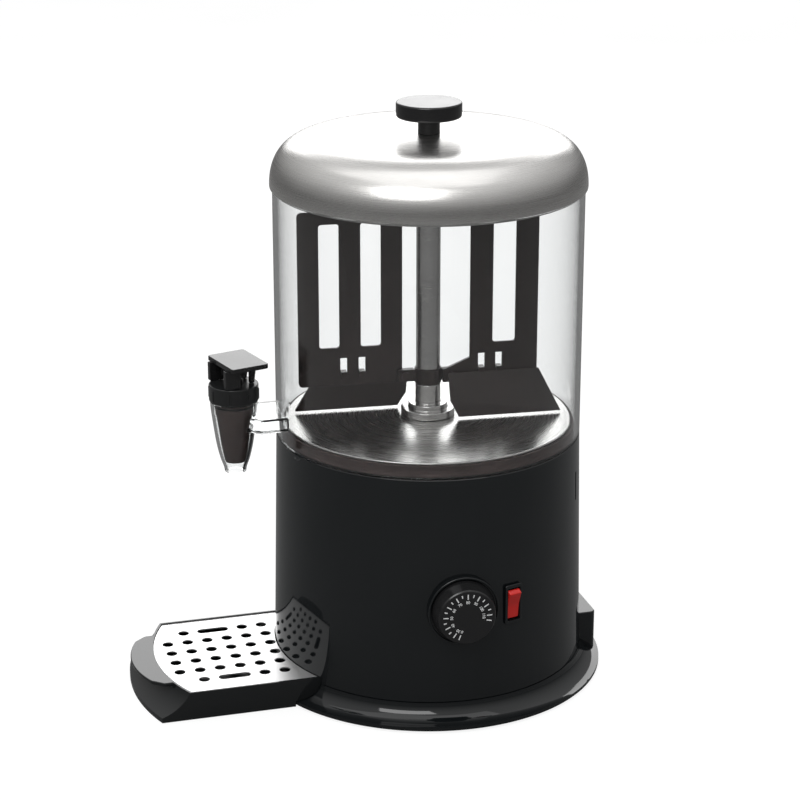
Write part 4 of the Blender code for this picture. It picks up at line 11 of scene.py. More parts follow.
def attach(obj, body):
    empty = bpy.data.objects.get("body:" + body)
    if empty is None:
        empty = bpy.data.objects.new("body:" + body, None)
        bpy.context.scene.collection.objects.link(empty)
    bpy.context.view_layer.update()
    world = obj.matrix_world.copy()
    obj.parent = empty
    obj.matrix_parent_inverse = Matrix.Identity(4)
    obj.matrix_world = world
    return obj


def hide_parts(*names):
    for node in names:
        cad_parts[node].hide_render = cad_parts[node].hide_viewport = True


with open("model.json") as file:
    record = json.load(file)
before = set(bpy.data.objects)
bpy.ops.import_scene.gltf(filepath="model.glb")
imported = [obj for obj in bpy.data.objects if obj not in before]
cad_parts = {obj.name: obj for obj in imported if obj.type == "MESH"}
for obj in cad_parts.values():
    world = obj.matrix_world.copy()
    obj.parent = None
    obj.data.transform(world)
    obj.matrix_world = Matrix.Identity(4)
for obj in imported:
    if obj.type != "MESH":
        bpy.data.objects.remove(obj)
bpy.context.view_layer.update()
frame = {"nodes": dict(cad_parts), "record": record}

# The machine's axis and the tap's, in plan
AXIS = (0.0, 0.05145)
TAP = (0.0, AXIS[1] - 0.156)

# Turns about an upright line
BETA_DIAL = math.radians(-3.5)
BETA_ROCKER = math.radians(15.9)
LEVER_TURN = math.radians(15)
AGITATOR_TURN = math.radians(-4.5)

# Sizes that more than one piece follows
HOUSING_LOW_RADIUS = 0.1241
HOUSING_TOP_RADIUS = 0.1201
HOUSING_TAPER = 0.0040
SEAM_HEIGHT = 0.0177
HOUSING_TOP_HEIGHT = 0.1995
SKIRT_RADIUS = 0.1405
FOOT_SPREAD = 0.0801867
CABLE_HEIGHT = 0.024
CABLE_BORE_RADIUS = 0.0063
DIAL_HEIGHT = 0.0944
DIAL_FACE = 0.1380
ROCKER_HEIGHT = 0.093
BOWL_INNER = 0.1161
BOWL_OUTER = 0.1201
LID_RIM_HEIGHT = 0.3982
CHANNEL_HALF_WIDTH = 0.0190
CHANNEL_LOW = 0.2156
CHANNEL_HIGH = 0.2229
TAP_BORE_RADIUS = 0.0152
PIN_HEIGHT = 0.2590
PIN_HOLE_RADIUS = 0.0018
TRAY_TOP_REACH = (0.2256, 0.2092)
TRAY_FOOT_REACH = (0.2434, 0.2313)
TRAY_TOP_HEIGHT = 0.0245
GRID_PITCH_ACROSS = 0.0175
GRID_PITCH_ALONG = 0.0161
GRID_FIRST = -0.2098

# Sides of round pieces
LARGE = 192
MEDIUM = 96


# Node materials

def new_tree(name):
    """A new material, its node tree and its shader."""
    made = bpy.data.materials.new(name)
    made.use_nodes = True
    tree = made.node_tree
    shader = tree.nodes["Principled BSDF"]
    return made, tree, shader


def put(tree, out, into):
    tree.links.new(out, into)


def noise(tree, vector, scale, detail=3.0, rough=0.55):
    made = tree.nodes.new("ShaderNodeTexNoise")
    made.inputs["Scale"].default_value = scale
    made.inputs["Detail"].default_value = detail
    made.inputs["Roughness"].default_value = rough
    put(tree, vector, made.inputs["Vector"])
    return made.outputs["Fac"]


def span(tree, value, low, high, from_low=0.3, from_high=0.7):
    """Stretches a value from one range to another."""
    made = tree.nodes.new("ShaderNodeMapRange")
    made.inputs["From Min"].default_value = from_low
    made.inputs["From Max"].default_value = from_high
    made.inputs["To Min"].default_value = low
    made.inputs["To Max"].default_value = high
    put(tree, value, made.inputs["Value"])
    return made.outputs["Result"]


def ramp(tree, value, low, high, from_low=0.3, from_high=0.7):
    """Turns a value into a colour between two."""
    made = tree.nodes.new("ShaderNodeValToRGB")
    made.color_ramp.elements[0].position = from_low
    made.color_ramp.elements[1].position = from_high
    made.color_ramp.elements[0].color = (*low, 1)
    made.color_ramp.elements[1].color = (*high, 1)
    put(tree, value, made.inputs["Fac"])
    return made.outputs["Color"]


def bump(tree, value, strength, distance):
    made = tree.nodes.new("ShaderNodeBump")
    made.inputs["Strength"].default_value = strength
    made.inputs["Distance"].default_value = distance
    put(tree, value, made.inputs["Height"])
    return made.outputs["Normal"]


def position(tree):
    return tree.nodes.new("ShaderNodeTexCoord").outputs["Object"]


def turned_position(tree, centre, stretch):
    """Object position as (distance from the centre line, height, angle), each times its own stretch."""
    offset = tree.nodes.new("ShaderNodeVectorMath")
    offset.operation = "SUBTRACT"
    offset.inputs[1].default_value = (centre[0], centre[1], 0)
    put(tree, position(tree), offset.inputs[0])
    split = tree.nodes.new("ShaderNodeSeparateXYZ")
    put(tree, offset.outputs[0], split.inputs[0])
    flat = tree.nodes.new("ShaderNodeCombineXYZ")
    put(tree, split.outputs["X"], flat.inputs["X"])
    put(tree, split.outputs["Y"], flat.inputs["Y"])
    length = tree.nodes.new("ShaderNodeVectorMath")
    length.operation = "LENGTH"
    put(tree, flat.outputs[0], length.inputs[0])
    angle = tree.nodes.new("ShaderNodeMath")
    angle.operation = "ARCTAN2"
    put(tree, split.outputs["Y"], angle.inputs[0])
    put(tree, split.outputs["X"], angle.inputs[1])
    joined = tree.nodes.new("ShaderNodeCombineXYZ")
    put(tree, length.outputs["Value"], joined.inputs["X"])
    put(tree, split.outputs["Z"], joined.inputs["Y"])
    put(tree, angle.outputs[0], joined.inputs["Z"])
    scaled = tree.nodes.new("ShaderNodeVectorMath")
    scaled.operation = "MULTIPLY"
    scaled.inputs[1].default_value = stretch
    put(tree, joined.outputs[0], scaled.inputs[0])
    return scaled.outputs[0]


def plastic(name, colour, other, roughness, grain=0.0, grain_scale=900, smudge=0.04):
    """Moulded plastic: slight colour drift, faint handling marks in the gloss and, if asked, a fine grain."""
    made, tree, shader = new_tree(name)
    place = position(tree)
    put(tree, ramp(tree, noise(tree, place, 9), colour, other), shader.inputs["Base Color"])
    marks = noise(tree, place, 34, 6, 0.62)
    put(tree, span(tree, marks, roughness, roughness + smudge, 0.42, 0.78), shader.inputs["Roughness"])
    if grain:
        put(tree, bump(tree, noise(tree, place, grain_scale, 2), grain, 0.0002), shader.inputs["Normal"])
    return made


def turned_steel(name, centre, colour, other, roughness, lines=2600, strength=0.05, anisotropy=0.55):
    """Steel brushed on a lathe: fine rings round the centre line, drawn out along the turn."""
    made, tree, shader = new_tree(name)
    rings = noise(tree, turned_position(tree, centre, (lines, lines, 1.2)), 1.0, 4, 0.7)
    broad = noise(tree, turned_position(tree, centre, (60, 60, 2.0)), 1.0, 3)
    put(tree, ramp(tree, broad, colour, other), shader.inputs["Base Color"])
    shader.inputs["Metallic"].default_value = 1.0
    put(tree, span(tree, rings, roughness - 0.06, roughness + 0.08), shader.inputs["Roughness"])
    put(tree, bump(tree, rings, strength, 0.00006), shader.inputs["Normal"])
    shader.inputs["Anisotropic"].default_value = anisotropy
    tangent = tree.nodes.new("ShaderNodeTangent")
    tangent.direction_type = "RADIAL"
    tangent.axis = "Z"
    put(tree, tangent.outputs[0], shader.inputs["Tangent"])
    return made


def plain_steel(name, colour, other, roughness, stretch=(40, 2400, 2400), strength=0.04, metallic=1.0):
    """Sheet or bar steel with grain along X of the object."""
    made, tree, shader = new_tree(name)
    scaled = tree.nodes.new("ShaderNodeVectorMath")
    scaled.operation = "MULTIPLY"
    scaled.inputs[1].default_value = stretch
    put(tree, position(tree), scaled.inputs[0])
    lines = noise(tree, scaled.outputs[0], 1.0, 4, 0.65)
    put(tree, ramp(tree, noise(tree, position(tree), 25), colour, other), shader.inputs["Base Color"])
    shader.inputs["Metallic"].default_value = metallic
    put(tree, span(tree, lines, roughness - 0.05, roughness + 0.07), shader.inputs["Roughness"])
    put(tree, bump(tree, lines, strength, 0.00005), shader.inputs["Normal"])
    return made


def clear_plastic(name, tint, roughness=0.015):
    """Clear moulded plastic, with a faint haze of fine marks."""
    made, tree, shader = new_tree(name)
    place = position(tree)
    put(tree, ramp(tree, noise(tree, place, 6), tint, (0.985, 0.99, 0.99)), shader.inputs["Base Color"])
    haze = noise(tree, place, 60, 5, 0.6)
    put(tree, span(tree, haze, roughness, roughness + 0.03, 0.5, 0.8), shader.inputs["Roughness"])
    shader.inputs["Transmission Weight"].default_value = 1.0
    shader.inputs["IOR"].default_value = 1.50
    return made


def rubber(name, colour, other, roughness=0.62):
    """Matt rubber with a fine grain."""
    made, tree, shader = new_tree(name)
    place = position(tree)
    put(tree, ramp(tree, noise(tree, place, 40, 4), colour, other), shader.inputs["Base Color"])
    put(tree, span(tree, noise(tree, place, 300, 3), roughness - 0.06, roughness + 0.08), shader.inputs["Roughness"])
    put(tree, bump(tree, noise(tree, place, 1200, 2), 0.10, 0.0002), shader.inputs["Normal"])
    return made


BLACK_GLOSS = plastic("black_gloss", (0.0042, 0.0052, 0.0058), (0.0054, 0.0064, 0.0070), 0.045, smudge=0.05)
BLACK_TRAY = plastic("black_tray", (0.0050, 0.0058, 0.0062), (0.0066, 0.0074, 0.0078), 0.09, 0.03, 1400, 0.05)
BLACK_SATIN = plastic("black_satin", (0.0070, 0.0074, 0.0078), (0.0095, 0.0099, 0.0103), 0.30, 0.10, 1600, 0.06)
BLACK_KNOB = plastic("black_knob", (0.0080, 0.0080, 0.0084), (0.0105, 0.0105, 0.0110), 0.17, 0.05, 1500, 0.06)
BROWN = plastic("brown_moulding", (0.040, 0.028, 0.026), (0.052, 0.037, 0.035), 0.34, 0.12, 1300, 0.08)
MAUVE = rubber("mauve_rubber_look", (0.090, 0.062, 0.058), (0.120, 0.086, 0.080))
RUBBER = rubber("black_rubber_look", (0.014, 0.014, 0.014), (0.022, 0.022, 0.022), 0.75)
CREAM = plastic("cream_moulding", (0.60, 0.55, 0.46), (0.68, 0.63, 0.54), 0.45, 0.05, 900)
RED = plastic("red_key", (0.62, 0.020, 0.016), (0.74, 0.030, 0.024), 0.16, 0.03, 900, 0.05)
WHITE = plastic("white_print", (0.82, 0.83, 0.83), (0.88, 0.88, 0.88), 0.5, 0.04, 2000)
CLEAR = clear_plastic("clear_bowl", (0.965, 0.975, 0.975))
CLEAR_TAP = clear_plastic("clear_tap", (0.955, 0.965, 0.965), 0.02)
LID_STEEL = turned_steel("lid_steel", AXIS, (0.60, 0.59, 0.575), (0.68, 0.67, 0.655), 0.27)
PAN_STEEL = turned_steel("pan_steel", AXIS, (0.56, 0.555, 0.54), (0.66, 0.65, 0.64), 0.25, lines=1800, strength=0.03)
TUBE_STEEL = turned_steel("tube_steel", AXIS, (0.62, 0.61, 0.60), (0.70, 0.69, 0.68), 0.20)
GRID_STEEL = plain_steel("grid_steel", (0.88, 0.88, 0.88), (0.93, 0.93, 0.93), 0.42)
DULL_STEEL = plain_steel("zinc_steel", (0.42, 0.42, 0.42), (0.50, 0.50, 0.50), 0.40, (300, 300, 300), 0.08)
BRASS = plain_steel("brass_look", (0.62, 0.44, 0.20), (0.72, 0.53, 0.26), 0.32, (500, 500, 500), 0.06)

LOOKS = {
    "gloss_black": BLACK_GLOSS,
    "satin_black": BLACK_SATIN,
    "dark_brown": BROWN,
    "mauve_rubber": MAUVE,
    "steel": TUBE_STEEL,
    "dull_steel": DULL_STEEL,
    "brass": BRASS,
    "rubber": RUBBER,
    "red": RED,
    "cream": CREAM,
    "clear": CLEAR_TAP,
}

for part in frame["record"]["subparts"]:
    mesh = frame["nodes"][part["node"]].data
    mesh.materials.clear()
    mesh.materials.append(LOOKS[part["material_slot"]])


# Mesh helpers

def link(name, mesh, look, angle=32):
    """Puts a mesh in the scene. Without a look it is a tool for a Boolean and stays hidden."""
    obj = bpy.data.objects.new(name, mesh)
    bpy.context.scene.collection.objects.link(obj)
    if look:
        mesh.materials.append(look)
        mesh.shade_smooth()
        mesh.set_sharp_from_angle(angle=math.radians(angle))
    else:
        obj.hide_render = True
        obj.display_type = "WIRE"
    return obj


def close(name, bm, look, angle=32):
    """Ends a bmesh and links it."""
    bmesh.ops.remove_doubles(bm, verts=bm.verts, dist=1e-7)
    bmesh.ops.recalc_face_normals(bm, faces=bm.faces)
    mesh = bpy.data.meshes.new(name)
    bm.to_mesh(mesh)
    bm.free()
    return link(name, mesh, look, angle)


def rounded(outline, radius, steps=4, corners=None):
    """The outline with round corners, at all of its points or only at the ones listed."""
    points = []
    count = len(outline)
    for i, corner in enumerate(outline):
        if corners is not None and i not in corners:
            points.append(corner)
            continue
        here = Vector(corner)
        back = Vector(outline[i - 1]) - here
        ahead = Vector(outline[(i + 1) % count]) - here
        limit = min(back.length, ahead.length) * 0.48
        back.normalize()
        ahead.normalize()
        half = back.angle(ahead) / 2
        size = min(radius, limit * math.tan(half))
        middle = here + (back + ahead).normalized() * size / math.sin(half)
        start = here + back * size / math.tan(half) - middle
        end = here + ahead * size / math.tan(half) - middle
        sweep = start.angle_signed(end)
        base = math.atan2(start.y, start.x)
        for k in range(steps + 1):
            turn = base - sweep * k / steps
            points.append((middle.x + size * math.cos(turn), middle.y + size * math.sin(turn)))
    return points


def revolve(name, outline, sides, look, centre=AXIS, place=None, angle=32):
    """Turns an outline of (radius, height) in metres round a vertical line, or round place's own Z."""
    bm = bmesh.new()
    rings = []
    count = len(outline)
    for radius, height in outline:
        if radius < 1e-9:
            rings.append([bm.verts.new((0, 0, height))])
            continue
        turns = [2 * math.pi * k / sides for k in range(sides)]
        rings.append([bm.verts.new((radius * math.cos(t), radius * math.sin(t), height)) for t in turns])
    for i in range(count):
        lower, upper = rings[i], rings[(i + 1) % count]
        for k in range(sides):
            after = (k + 1) % sides
            if len(lower) == 1 and len(upper) == 1:
                break
            if len(lower) == 1:
                bm.faces.new((lower[0], upper[after], upper[k]))
            elif len(upper) == 1:
                bm.faces.new((lower[k], lower[after], upper[0]))
            else:
                bm.faces.new((lower[k], lower[after], upper[after], upper[k]))
    matrix = place if place is not None else Matrix.Translation((centre[0], centre[1], 0))
    bmesh.ops.transform(bm, matrix=matrix, verts=bm.verts)
    return close(name, bm, look, angle)


ALONG = {
    "X": lambda a, b, depth: (depth, a, b),
    "Y": lambda a, b, depth: (a, depth, b),
    "Z": lambda a, b, depth: (a, b, depth),
}


def slab(name, outlines, low, high, look, axis="Z", place=Matrix(), bevel=0.0, angle=32, bevel_steps=2):
    """Extrudes one or more outlines. Sharp edges are rounded by a real bevel where one is asked for."""
    bm = bmesh.new()
    spot = ALONG[axis]
    for outline in outlines:
        face = bm.faces.new([bm.verts.new(spot(a, b, low)) for a, b in outline])
        grown = bmesh.ops.extrude_face_region(bm, geom=[face])["geom"]
        moved = [item for item in grown if isinstance(item, bmesh.types.BMVert)]
        bmesh.ops.translate(bm, vec=spot(0, 0, high - low), verts=moved)
    bmesh.ops.recalc_face_normals(bm, faces=bm.faces)
    if bevel:
        edges = [e for e in bm.edges if len(e.link_faces) == 2 and e.calc_face_angle() > math.radians(35)]
        bmesh.ops.bevel(
            bm, geom=edges, offset=bevel, segments=bevel_steps, profile=0.5, affect="EDGES", clamp_overlap=True
        )
    bmesh.ops.transform(bm, matrix=place, verts=bm.verts)
    return close(name, bm, look, angle)


def settle(obj, *tools, angle=32):
    """Applies (tool, operation) Booleans and removes the tools."""
    for tool, operation in tools:
        modifier = obj.modifiers.new(tool.name, "BOOLEAN")
        modifier.operation = operation
        modifier.solver = "EXACT"
        modifier.object = tool
    bpy.context.view_layer.update()
    graph = bpy.context.evaluated_depsgraph_get()
    mesh = bpy.data.meshes.new_from_object(obj.evaluated_get(graph))
    obj.modifiers.clear()
    old = obj.data
    obj.data = mesh
    mesh.name = old.name
    for tool, _ in tools:
        bpy.data.objects.remove(tool, do_unlink=True)
    if not obj.hide_render:
        mesh.shade_smooth()
        mesh.set_sharp_from_angle(angle=math.radians(angle))
    return obj


def soften(obj, width, steps=2, angle=35):
    """Rounds the sharp edges of an object with a bevel modifier."""
    weld = obj.modifiers.new("weld", "WELD")
    weld.merge_threshold = 0.00001
    modifier = obj.modifiers.new("bevel", "BEVEL")
    modifier.width = width
    modifier.segments = steps
    modifier.limit_method = "ANGLE"
    modifier.angle_limit = math.radians(angle)
    modifier.harden_normals = True
    return obj


def mount(obj, body, *nodes, slot=None):
    """Rides an object on a body, in place of the nodes named, with normals that follow its large faces."""
    if not obj.modifiers:
        even = obj.modifiers.new("even_normals", "WEIGHTED_NORMAL")
        even.keep_sharp = True
    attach(obj, body)
    if nodes:
        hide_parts(*nodes)
    return obj


def circle(radius, sides, centre=(0, 0)):
    turns = [2 * math.pi * k / sides for k in range(sides)]
    return [(centre[0] + radius * math.cos(t), centre[1] + radius * math.sin(t)) for t in turns]


def smooth(points, steps):
    """A Catmull-Rom curve through the points."""
    curve = []
    ends = [points[0], *points, points[-1]]
    for before, start, end, after in zip(ends, ends[1:], ends[2:], ends[3:]):
        for k in range(steps):
            t = k / steps
            curve.append(tuple(
                (2 * b + (c - a) * t + (2 * a - 5 * b + 4 * c - d) * t**2 + (3 * b - a - 3 * c + d) * t**3) / 2
                for a, b, c, d in zip(before, start, end, after)
            ))
    return [*curve, points[-1]]


def rectangle(x0, y0, x1, y1):
    return [(x0, y0), (x1, y0), (x1, y1), (x0, y1)]


def stadium(length, width, centre, steps=12):
    """A slot with round ends, long in its second coordinate."""
    half = (length - width) / 2
    points = []
    for k in range(steps + 1):
        turn = math.pi * k / steps
        points.append((centre[0] + width / 2 * math.cos(turn), centre[1] + half + width / 2 * math.sin(turn)))
    for k in range(steps + 1):
        turn = math.pi + math.pi * k / steps
        points.append((centre[0] + width / 2 * math.cos(turn), centre[1] - half + width / 2 * math.sin(turn)))
    return points


def side_frame(beta, height):
    """Where a control sits: X to its right, Y up and Z straight out of the housing."""
    turn = Euler((math.pi / 2, 0, math.pi / 2 + beta)).to_matrix().to_4x4()
    return Matrix.Translation((AXIS[0], AXIS[1], height)) @ turn


def housing_radius(height):
    """The housing's outer radius, which draws in a little towards the top."""
    return HOUSING_LOW_RADIUS - HOUSING_TAPER * (height - SEAM_HEIGHT) / (HOUSING_TOP_HEIGHT - SEAM_HEIGHT)


def foot_places():
    return [(AXIS[0] + FOOT_SPREAD * sx, AXIS[1] + FOOT_SPREAD * sy) for sy in (-1, 1) for sx in (-1, 1)]


# Base, housing and what shows of the inside

def cove(steps, grow=0.0):
    """The skirt's hollow curve from the housing's seam down to its rim."""
    top_radius, drop = 0.1244, 0.0130
    points = []
    for k in range(steps + 1):
        turn = math.pi / 2 * k / steps
        radius = SKIRT_RADIUS - (SKIRT_RADIUS - top_radius) * math.cos(turn)
        height = SEAM_HEIGHT - drop * math.sin(turn)
        points.append((radius + grow, height + grow))
    return points


def build_skirt():
    """The base moulding with its cove, ledge ring and cable box."""
    outline = [
        (0.1380, 0.0015), (0.1399, 0.0015), (SKIRT_RADIUS, 0.0021), (SKIRT_RADIUS, 0.0043),
        *reversed(cove(14)),
        (0.1216, SEAM_HEIGHT), (0.1216, 0.0270), (0.1192, 0.0270), (0.1192, 0.0108),
        (0.1080, 0.0108), (0.1080, 0.0080), (0.1241, 0.0080), (0.1355, 0.0044), (0.1380, 0.0028),
    ]
    skirt = revolve("base_moulding", outline, LARGE, BLACK_GLOSS, angle=28)
    back = rounded(rectangle(-0.036, 0.108, 0.036, 0.1335), 0.005, 6, corners=(2, 3))
    shifted = [(x, y + AXIS[1]) for x, y in back]
    box = slab("box_tool", [shifted], 0.0045, 0.0380, None, bevel=0.0012, bevel_steps=3)
    housing_room = [(0, SEAM_HEIGHT), (0.12441, SEAM_HEIGHT), (0.12386, 0.044), (0, 0.044)]
    room = revolve("room_tool", housing_room, LARGE, None)
    low_room = revolve("low_room_tool", rectangle(0, -0.002, 0.1204, 0.0237), LARGE, None)
    settle(box, (room, "DIFFERENCE"), (low_room, "DIFFERENCE"))
    cable_hole = circle(CABLE_BORE_RADIUS, 32, (0, CABLE_HEIGHT))
    bore = slab("bore_tool", [cable_hole], 0.10 + AXIS[1], 0.15 + AXIS[1], None, axis="Y")
    holes = slab("foot_tool", [circle(0.0027, 24, spot) for spot in foot_places()], 0.004, 0.014, None)
    settle(skirt, (box, "UNION"), (bore, "DIFFERENCE"), (holes, "DIFFERENCE"), angle=28)
    mount(skirt, "base", "base_skirt", slot="gloss_black")


def build_housing():
    """The round shell with its shelf, its vents at the back and the holes for the controls and the cord."""
    wall = 0.0020
    rounding = 0.0005
    outline = [
        (housing_radius(0.018) - wall, 0.0180),
        (housing_radius(0.018) - rounding, 0.0180),
        (housing_radius(0.018), 0.0180 + rounding),
        (HOUSING_TOP_RADIUS, HOUSING_TOP_HEIGHT - rounding),
        (HOUSING_TOP_RADIUS - rounding, HOUSING_TOP_HEIGHT),
        (0.1181, HOUSING_TOP_HEIGHT),
        (0.11820, 0.1951), (0.1132, 0.1951), (0.1132, 0.1931), (0.1183, 0.1906),
    ]
    shell = revolve("housing_skin", outline, LARGE, BLACK_GLOSS, angle=28)
    bm = bmesh.new()
    count, arc = 7, math.radians(64)
    for k in range(count):
        turn = math.pi / 2 + arc * (k / (count - 1) - 0.5)
        across = Vector((-math.sin(turn), math.cos(turn), 0))
        out = Vector((math.cos(turn), math.sin(turn), 0))
        base = Vector((AXIS[0], AXIS[1], 0))
        shape = stadium(0.024, 0.0032, (0, 0.162), 8)
        start = base + out * 0.114
        face = bm.faces.new([bm.verts.new(start + across * a + Vector((0, 0, b))) for a, b in shape])
        grown = bmesh.ops.extrude_face_region(bm, geom=[face])["geom"]
        moved = [item for item in grown if isinstance(item, bmesh.types.BMVert)]
        bmesh.ops.translate(bm, vec=out * 0.016, verts=moved)
    vents = close("vents_tool", bm, None)
    opening = rectangle(-0.0072, -0.0150, 0.0072, 0.0150)
    window = slab("window_tool", [opening], 0.117, 0.131, None, place=side_frame(BETA_ROCKER, ROCKER_HEIGHT))
    neck = slab("neck_tool", [circle(0.0050, 32)], 0.116, 0.129, None, place=side_frame(BETA_DIAL, DIAL_HEIGHT))
    cable_hole = circle(CABLE_BORE_RADIUS, 32, (0, CABLE_HEIGHT))
    gland = slab("gland_tool", [cable_hole], 0.115 + AXIS[1], 0.130 + AXIS[1], None, axis="Y")
    settle(shell, *((tool, "DIFFERENCE") for tool in (vents, window, neck, gland)), angle=28)
    mount(shell, "base", "housing_shell", slot="gloss_black")


def build_pan():
    """The heating pan with its seal and the turned riser in its middle."""
    pan = revolve(
        "pan_disc",
        [
            (0.0098, 0.2103), (0.1118, 0.2103), (0.1120, 0.2101),
            (0.1120, 0.1987), (0.1130, 0.1987), (0.1130, 0.2103),
            (0.1129, 0.2107), (0.1126, 0.2110), (0.1123, 0.21117),
            (0.1118, 0.2113), (0.0098, 0.2113),
        ],
        LARGE, PAN_STEEL,
    )
    mount(pan, "base", "heating_pan", slot="steel")
    seal = revolve(
        "seal_ring",
        rounded(
            [
                (0.1133, 0.2006), (0.1158, 0.2006), (0.1152, 0.2035),
                (0.1152, 0.2060), (0.1158, 0.2098), (0.1133, 0.2098),
            ],
            0.0005, 3,
        ),
        LARGE, MAUVE,
    )
    mount(seal, "base", "pan_seal", slot="mauve_rubber")
    riser = revolve(
        "riser_turned",
        rounded(
            [
                (0.0074, 0.1990), (0.0094, 0.1990), (0.0094, 0.2116), (0.0212, 0.2116), (0.0212, 0.2172),
                (0.0155, 0.2172), (0.0155, 0.2214), (0.0100, 0.2214), (0.0100, 0.2370), (0.0074, 0.2370),
            ],
            0.0007, 4,
        ),
        MEDIUM, TUBE_STEEL,
    )
    mount(riser, "base", "pan_riser", slot="steel")


def build_gland_and_feet():
    gland = revolve(
        "gland_turned",
        rounded(
            [
                (0.0037, 0.1258), (0.0060, 0.1258), (0.0060, 0.1338),
                (0.0095, 0.1338), (0.0081, 0.1366), (0.0037, 0.1366),
            ],
            0.0006, 4,
        ),
        48, BLACK_SATIN, place=side_frame(math.pi / 2, CABLE_HEIGHT),
    )
    mount(gland, "base", "cord_gland", slot="satin_black")
    shape = rounded(
        [
            (0, 0), (0.0078, 0), (0.0088, 0.0059), (0.0024, 0.0059),
            (0.0024, 0.0111), (0.0032, 0.0111), (0.0012, 0.0135), (0, 0.0135),
        ],
        0.0008, 4, corners=(1, 2),
    )
    for name, spot in zip(("front_left", "front_right", "rear_left", "rear_right"), foot_places()):
        foot = revolve("foot_pad_" + name, shape, 48, RUBBER, centre=spot)
        mount(foot, "base", "foot_" + name, slot="rubber")


# Controls

def build_dial():
    """The dial's bezel and its knob."""
    dial = side_frame(BETA_DIAL, DIAL_HEIGHT)
    bezel = revolve(
        "dial_ring",
        rounded(
            [
                (0.0033, 0.1141), (0.0278, 0.1141), (0.0278, 0.1262),
                (0.0260, 0.1262), (0.0260, 0.1239), (0.0033, 0.1239),
            ],
            0.0007, 5, corners=(2, 3),
        ),
        MEDIUM, BLACK_GLOSS, place=dial,
    )
    low, high = 0.0606, 0.1282
    grow = 0.00036
    wall = [(housing_radius(height) + grow, height) for height in (low, high)]
    room = revolve("room_tool", [(0, low), *wall, (0, high)], LARGE, None)
    settle(bezel, (room, "DIFFERENCE"))
    mount(bezel, "base", "dial_bezel", slot="gloss_black")
    knob = revolve(
        "dial_turned",
        rounded(
            [
                (0.0033, 0.1243), (0.0252, 0.1243), (0.0222, 0.1370), (0.0212, DIAL_FACE),
                (0, DIAL_FACE), (0, 0.1343), (0.0033, 0.1343),
            ],
            0.0009, 5, corners=(1, 2, 3),
        ),
        MEDIUM, BLACK_KNOB, place=dial,
    )
    mount(knob, "dial", "dial_knob", slot="satin_black")


def build_dial_marks():
    """The ticks and the plain numbers on the dial's face."""
    dial = side_frame(BETA_DIAL, DIAL_HEIGHT)
    face = DIAL_FACE
    bars = []
    texts = []
    count = 19
    angles = [math.radians(249 - 261 * k / (count - 1)) for k in range(count)]
    for k, angle in enumerate(angles):
        long_tick = k % 2 == 1 or k in (0, count - 1)
        inner, outer = (0.0149, 0.0190) if long_tick else (0.0166, 0.0189)
        half = 0.00045
        along = Vector((math.cos(angle), math.sin(angle)))
        side = Vector((-along.y, along.x)) * half
        corners = (along * inner - side, along * outer - side, along * outer + side, along * inner + side)
        bars.append([tuple(corner) for corner in corners])
    words = ("0", "30", "40", "50", "60", "70", "80", "90", "100", "110")
    for k, word in zip((0, *range(1, count - 1, 2)), words):
        angle = angles[k]
        reach = 0.0124 if k != 0 else 0.0120
        curve = bpy.data.curves.new("mark_" + word, "FONT")
        curve.body = word
        curve.size = 0.0031
        curve.align_x = "CENTER"
        curve.align_y = "CENTER"
        curve.extrude = 0.00002
        curve.offset = 0.00006
        text = bpy.data.objects.new("mark_" + word, curve)
        bpy.context.scene.collection.objects.link(text)
        turn = Matrix.Rotation(angle - math.pi / 2, 4, "Z")
        spot = Matrix.Translation((reach * math.cos(angle), reach * math.sin(angle), face + 0.00003))
        text.matrix_world = dial @ spot @ turn
        texts.append(text)
    marks = slab("dial_marks", bars, face - 0.00002, face + 0.00005, WHITE, place=dial)
    mount(marks, "dial")
    bpy.context.view_layer.update()
    graph = bpy.context.evaluated_depsgraph_get()
    for text in texts:
        mesh = bpy.data.meshes.new_from_object(text.evaluated_get(graph))
        mesh.transform(text.matrix_world)
        name = "dial_" + text.name
        bpy.data.objects.remove(text, do_unlink=True)
        mesh.materials.clear()
        number = link(name, mesh, WHITE)
        mount(number, "dial")


def build_rocker():
    """The rocker switch: its frame with the body and tabs behind it, and the red key."""
    rocker = side_frame(BETA_ROCKER, ROCKER_HEIGHT)
    outline = rounded(rectangle(-0.0077, -0.0162, 0.0077, 0.0162), 0.0018, 6)
    bezel = slab("switch_frame", [outline], 0.1231, 0.1248, BLACK_GLOSS, place=rocker, bevel=0.0006, bevel_steps=3)
    body = slab("body_tool", [rectangle(-0.0069, -0.0147, 0.0069, 0.0147)], 0.1040, 0.1240, None, place=rocker)
    strips = [rectangle(-0.00315, y - 0.0004, 0.00315, y + 0.0004) for y in (-0.009, 0, 0.009)]
    tabs = slab("tabs_tool", strips, 0.0960, 0.1085, None, place=rocker)
    room = rounded(rectangle(-0.0057, -0.0134, 0.0057, 0.0134), 0.0006, 3)
    cavity = slab("cavity_tool", [room], 0.1130, 0.1300, None, place=rocker)
    settle(bezel, (body, "UNION"), (tabs, "UNION"), (cavity, "DIFFERENCE"))
    mount(bezel, "base", "rocker_frame", slot="gloss_black")

    sweep = 0.0130

    def swept(degrees):
        turn = math.radians(degrees)
        return (sweep * math.cos(turn), sweep * math.sin(turn))

    front = []
    for k in range(17):
        share = 1 - k / 8
        front.append((0.01102 * share, 0.0058 + 0.00109 * abs(share) ** 1.25))
    outline = front + [swept(180 - 12), (-0.0070, -0.0032), (0.0070, -0.0032), swept(12)]
    tilt = Matrix.Translation((0, 0, 0.1185)) @ Matrix.Rotation(math.radians(11), 4, "X")
    key = slab(
        "switch_key", [outline], -0.0053, 0.0053, RED,
        axis="X", place=rocker @ tilt, bevel=0.0007, angle=40, bevel_steps=3,
    )
    mount(key, "rocker", "rocker_key", slot="red")


# Bowl, lid and agitator

